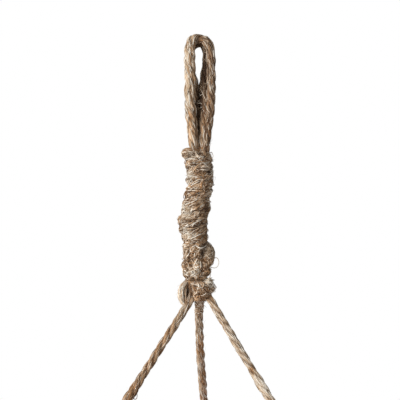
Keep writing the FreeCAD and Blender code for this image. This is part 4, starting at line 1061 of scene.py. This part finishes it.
# ---------------------------------------------------------------- strands of the net
UPPER = ((0.0, 100.0, -289.0), (0.20, 92.6, -302.5), (0.43, 86.8, -316.0), (0.67, 82.0, -331.5), (0.87, 79.2, -340.5), (1.0, 81.5, -345.0))
DRIFT = {
    ("left", "front"): (0.6, 0.00), ("left", "rear_left"): (-0.5, 0.01),
    ("right", "front"): (-0.4, 0.01), ("right", "rear_right"): (0.7, -0.01),
    ("rear", "rear_left"): (0.3, 0.00), ("rear", "rear_right"): (-0.7, 0.01),
}
for i, ((k, n), (dz, df)) in enumerate(DRIFT.items()):
    turn = 60.0 if (SIDE_AZ[n] - AZ[k]) % 360 < 90 else -60.0
    route = [RIM[k]] + [polar(r * MM, AZ[k] + turn * (f + df), (z + dz) * MM) for f, r, z in UPPER[1:-1]] + [SIDE[n]]
    line = spline_line(route)
    g = Gather()
    rng = np.random.default_rng(80 + i)
    cord(g, line, rng, hairs=450, around=18, step=0.0007, tone=rng.uniform(-0.06, 0.08))
    label = "upper_strand_%s_to_%s" % (k, n)
    o = g.piece(label + "_rope", JUTE, "net")
    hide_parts(label)

LOWER = ((1.95, 81.5, -343.0), (2.4, 79.5, -354.0), (8.0, 71.0, -369.0), (16.0, 64.6, -385.0), (20.5, 60.7, -399.5), (21.5, 53.6, -405.9), (22.5, 30.0, -409.0), (24.0, 5.0, -416.0))
i = 0
for n in ("front", "rear_left", "rear_right"):
    for hand, sign, dz in (("left", -1, 0.0), ("right", 1, 0.8)):
        route = [polar(r * MM, SIDE_AZ[n] + sign * d, (z + (dz if 0 < j < 4 else 0)) * MM) for j, (d, r, z) in enumerate(LOWER)]
        line = spline_line(route)
        g = Gather()
        rng = np.random.default_rng(90 + i)
        i += 1
        cord(g, line, rng, hairs=450, around=18, step=0.0007, tone=rng.uniform(-0.06, 0.08))
        label = "lower_strand_%s_%s" % (n, hand)
        o = g.piece(label + "_rope", JUTE, "net")
        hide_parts(label)

# ---------------------------------------------------------------- base knot and tassel
lump("base_knot_rope", "base_knot", np.array([0, 0, -0.418]), 265.9, 0.0195, 0.0098, "base_knot", 100, d=0.0054)

lo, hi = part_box("tassel_wrap")
rng = np.random.default_rng(101)
g = Gather()
th = np.linspace(0, TAU * 4.2, 500)
z = lo[2] + 0.0022 + (hi[2] - lo[2] - 0.0044) * th / th[-1]
z = z + 0.0006 * np.cos(th + 0.6)
r = 0.0064 + 0.0002 * np.sin(th * 0.8) - 0.002 * np.clip((th - th[-1] + 1.2) / 1.2, 0, 1) ** 2
line = np.stack([r * np.cos(th + 2.2), r * np.sin(th + 2.2), z], axis=1)
cord(g, line, rng, d=0.0052, hairs=700, around=18, frames=lambda l: unit(np.stack([l[:, 0], l[:, 1], np.zeros(len(l))], axis=1)), squash=(0.9, 1.05))
for k in range(5):
    an = k * TAU / 5 + 0.4
    zz = np.linspace(-0.4255, -0.4500, 14)
    line = np.stack([np.full(14, 0.0030 * math.cos(an)), np.full(14, 0.0030 * math.sin(an)), zz], axis=1)
    cord(g, line, rng, d=0.0048, around=12, step=0.001)
tassel_wrap = g.piece("tassel_wrap_rope", JUTE, "tassel")
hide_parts("tassel_wrap")

STRANDS = ((15.0, 8.5, 92.0, 2.0), (75.0, 6.0, 86.0, -2.5), (135.0, 9.5, 97.0, 1.5), (195.0, 7.0, 89.0, -1.5), (255.0, 8.0, 95.0, 2.5), (315.0, 10.0, 84.0, -2.0))
WRAP_Z, RING = -447.0, 5.25
tassel_routes = []
for azimuth, swing, long, bend in STRANDS:
    a = math.radians(azimuth)
    out, side = np.array([math.cos(a), math.sin(a), 0]), np.array([-math.sin(a), math.cos(a), 0])
    tassel_routes.append([
        (out * (RING + swing * o) + side * (bend * b) + np.array([0, 0, WRAP_Z - long * f])) * MM
        for f, o, b in ((0.0, 0.0, 0.0), (0.22, 0.04, 0.1), (0.50, 0.42, 0.75), (0.78, 0.80, 0.9), (1.0, 1.0, 0.35))])
tassel_routes.append([np.array(p) * MM for p in ((0, 0, WRAP_Z), (0.3, -0.2, WRAP_Z - 20), (-0.9, 0.6, WRAP_Z - 45), (-0.4, -0.6, WRAP_Z - 70), (0.8, -0.4, WRAP_Z - 90))])
LENGTHS = (0.0925, 0.0863, 0.0976, 0.0894, 0.0955, 0.0847, 0.0901)
for i, (route, long) in enumerate(zip(tassel_routes, LENGTHS), start=1):
    line = spline_line(route)
    rng = np.random.default_rng(110 + i)
    g = Gather()
    cord(g, line, rng, hairs=600, around=18, step=0.0007, tone=rng.uniform(-0.05, 0.10))
    end = line[-1] - line[-4]
    fibres(g, line[-1] - unit(end) * 0.0014, end, rng, 60, 0.30, 0.0036, radius=0.00016, tone=0.10, foot=0.0016, curl=0.35)
    o = g.piece("tassel_strand_%d_rope" % i, JUTE, "tassel")
    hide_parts("tassel_strand_%d" % i)

# ---------------------------------------------------------------- stage and light
bpy.ops.mesh.primitive_plane_add(size=6.0, location=(0, 0, CAD_BOX[0][2] - 0.05))
floor = bpy.context.object
floor.name = "floor"
m, nt, p = nodes_of("pale_floor")
p.inputs["Base Color"].default_value = (0.86, 0.86, 0.86, 1)
p.inputs["Roughness"].default_value = 0.9
floor.data.materials.append(m)
floor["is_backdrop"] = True

world = bpy.data.worlds.new("studio")
bpy.context.scene.world = world
world.use_nodes = True
nt = world.node_tree
nt.nodes.clear()
out = nt.nodes.new("ShaderNodeOutputWorld")
mix = nt.nodes.new("ShaderNodeMixShader")
path = nt.nodes.new("ShaderNodeLightPath")
soft, white = nt.nodes.new("ShaderNodeBackground"), nt.nodes.new("ShaderNodeBackground")
soft.inputs[0].default_value = (1.0, 0.985, 0.95, 1)
soft.inputs[1].default_value = 0.38
white.inputs[0].default_value = (1, 1, 1, 1)
white.inputs[1].default_value = 1.0
nt.links.new(path.outputs["Is Camera Ray"], mix.inputs[0])
nt.links.new(soft.outputs[0], mix.inputs[1])
nt.links.new(white.outputs[0], mix.inputs[2])
nt.links.new(mix.outputs[0], out.inputs["Surface"])


def area(name, place, target, size, power, colour=(1, 1, 1)):
    from mathutils import Vector
    l = bpy.data.lights.new(name, "AREA")
    l.shape = "SQUARE"
    l.size = size
    l.energy = power
    l.color = colour
    o = bpy.data.objects.new(name, l)
    bpy.context.scene.collection.objects.link(o)
    o.location = place
    o.rotation_euler = (Vector(target) - Vector(place)).to_track_quat("-Z", "Y").to_euler()
    return o


area("key", (-1.25, -0.80, 0.40), (0, 0, -0.12), 0.45, 35.0, (1.0, 1.0, 0.99))
area("fill", (0.9, -1.6, -0.2), (0, 0, -0.15), 1.2, 4.0, (1, 1, 1))

bounds = [list(map(float, c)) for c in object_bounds()]
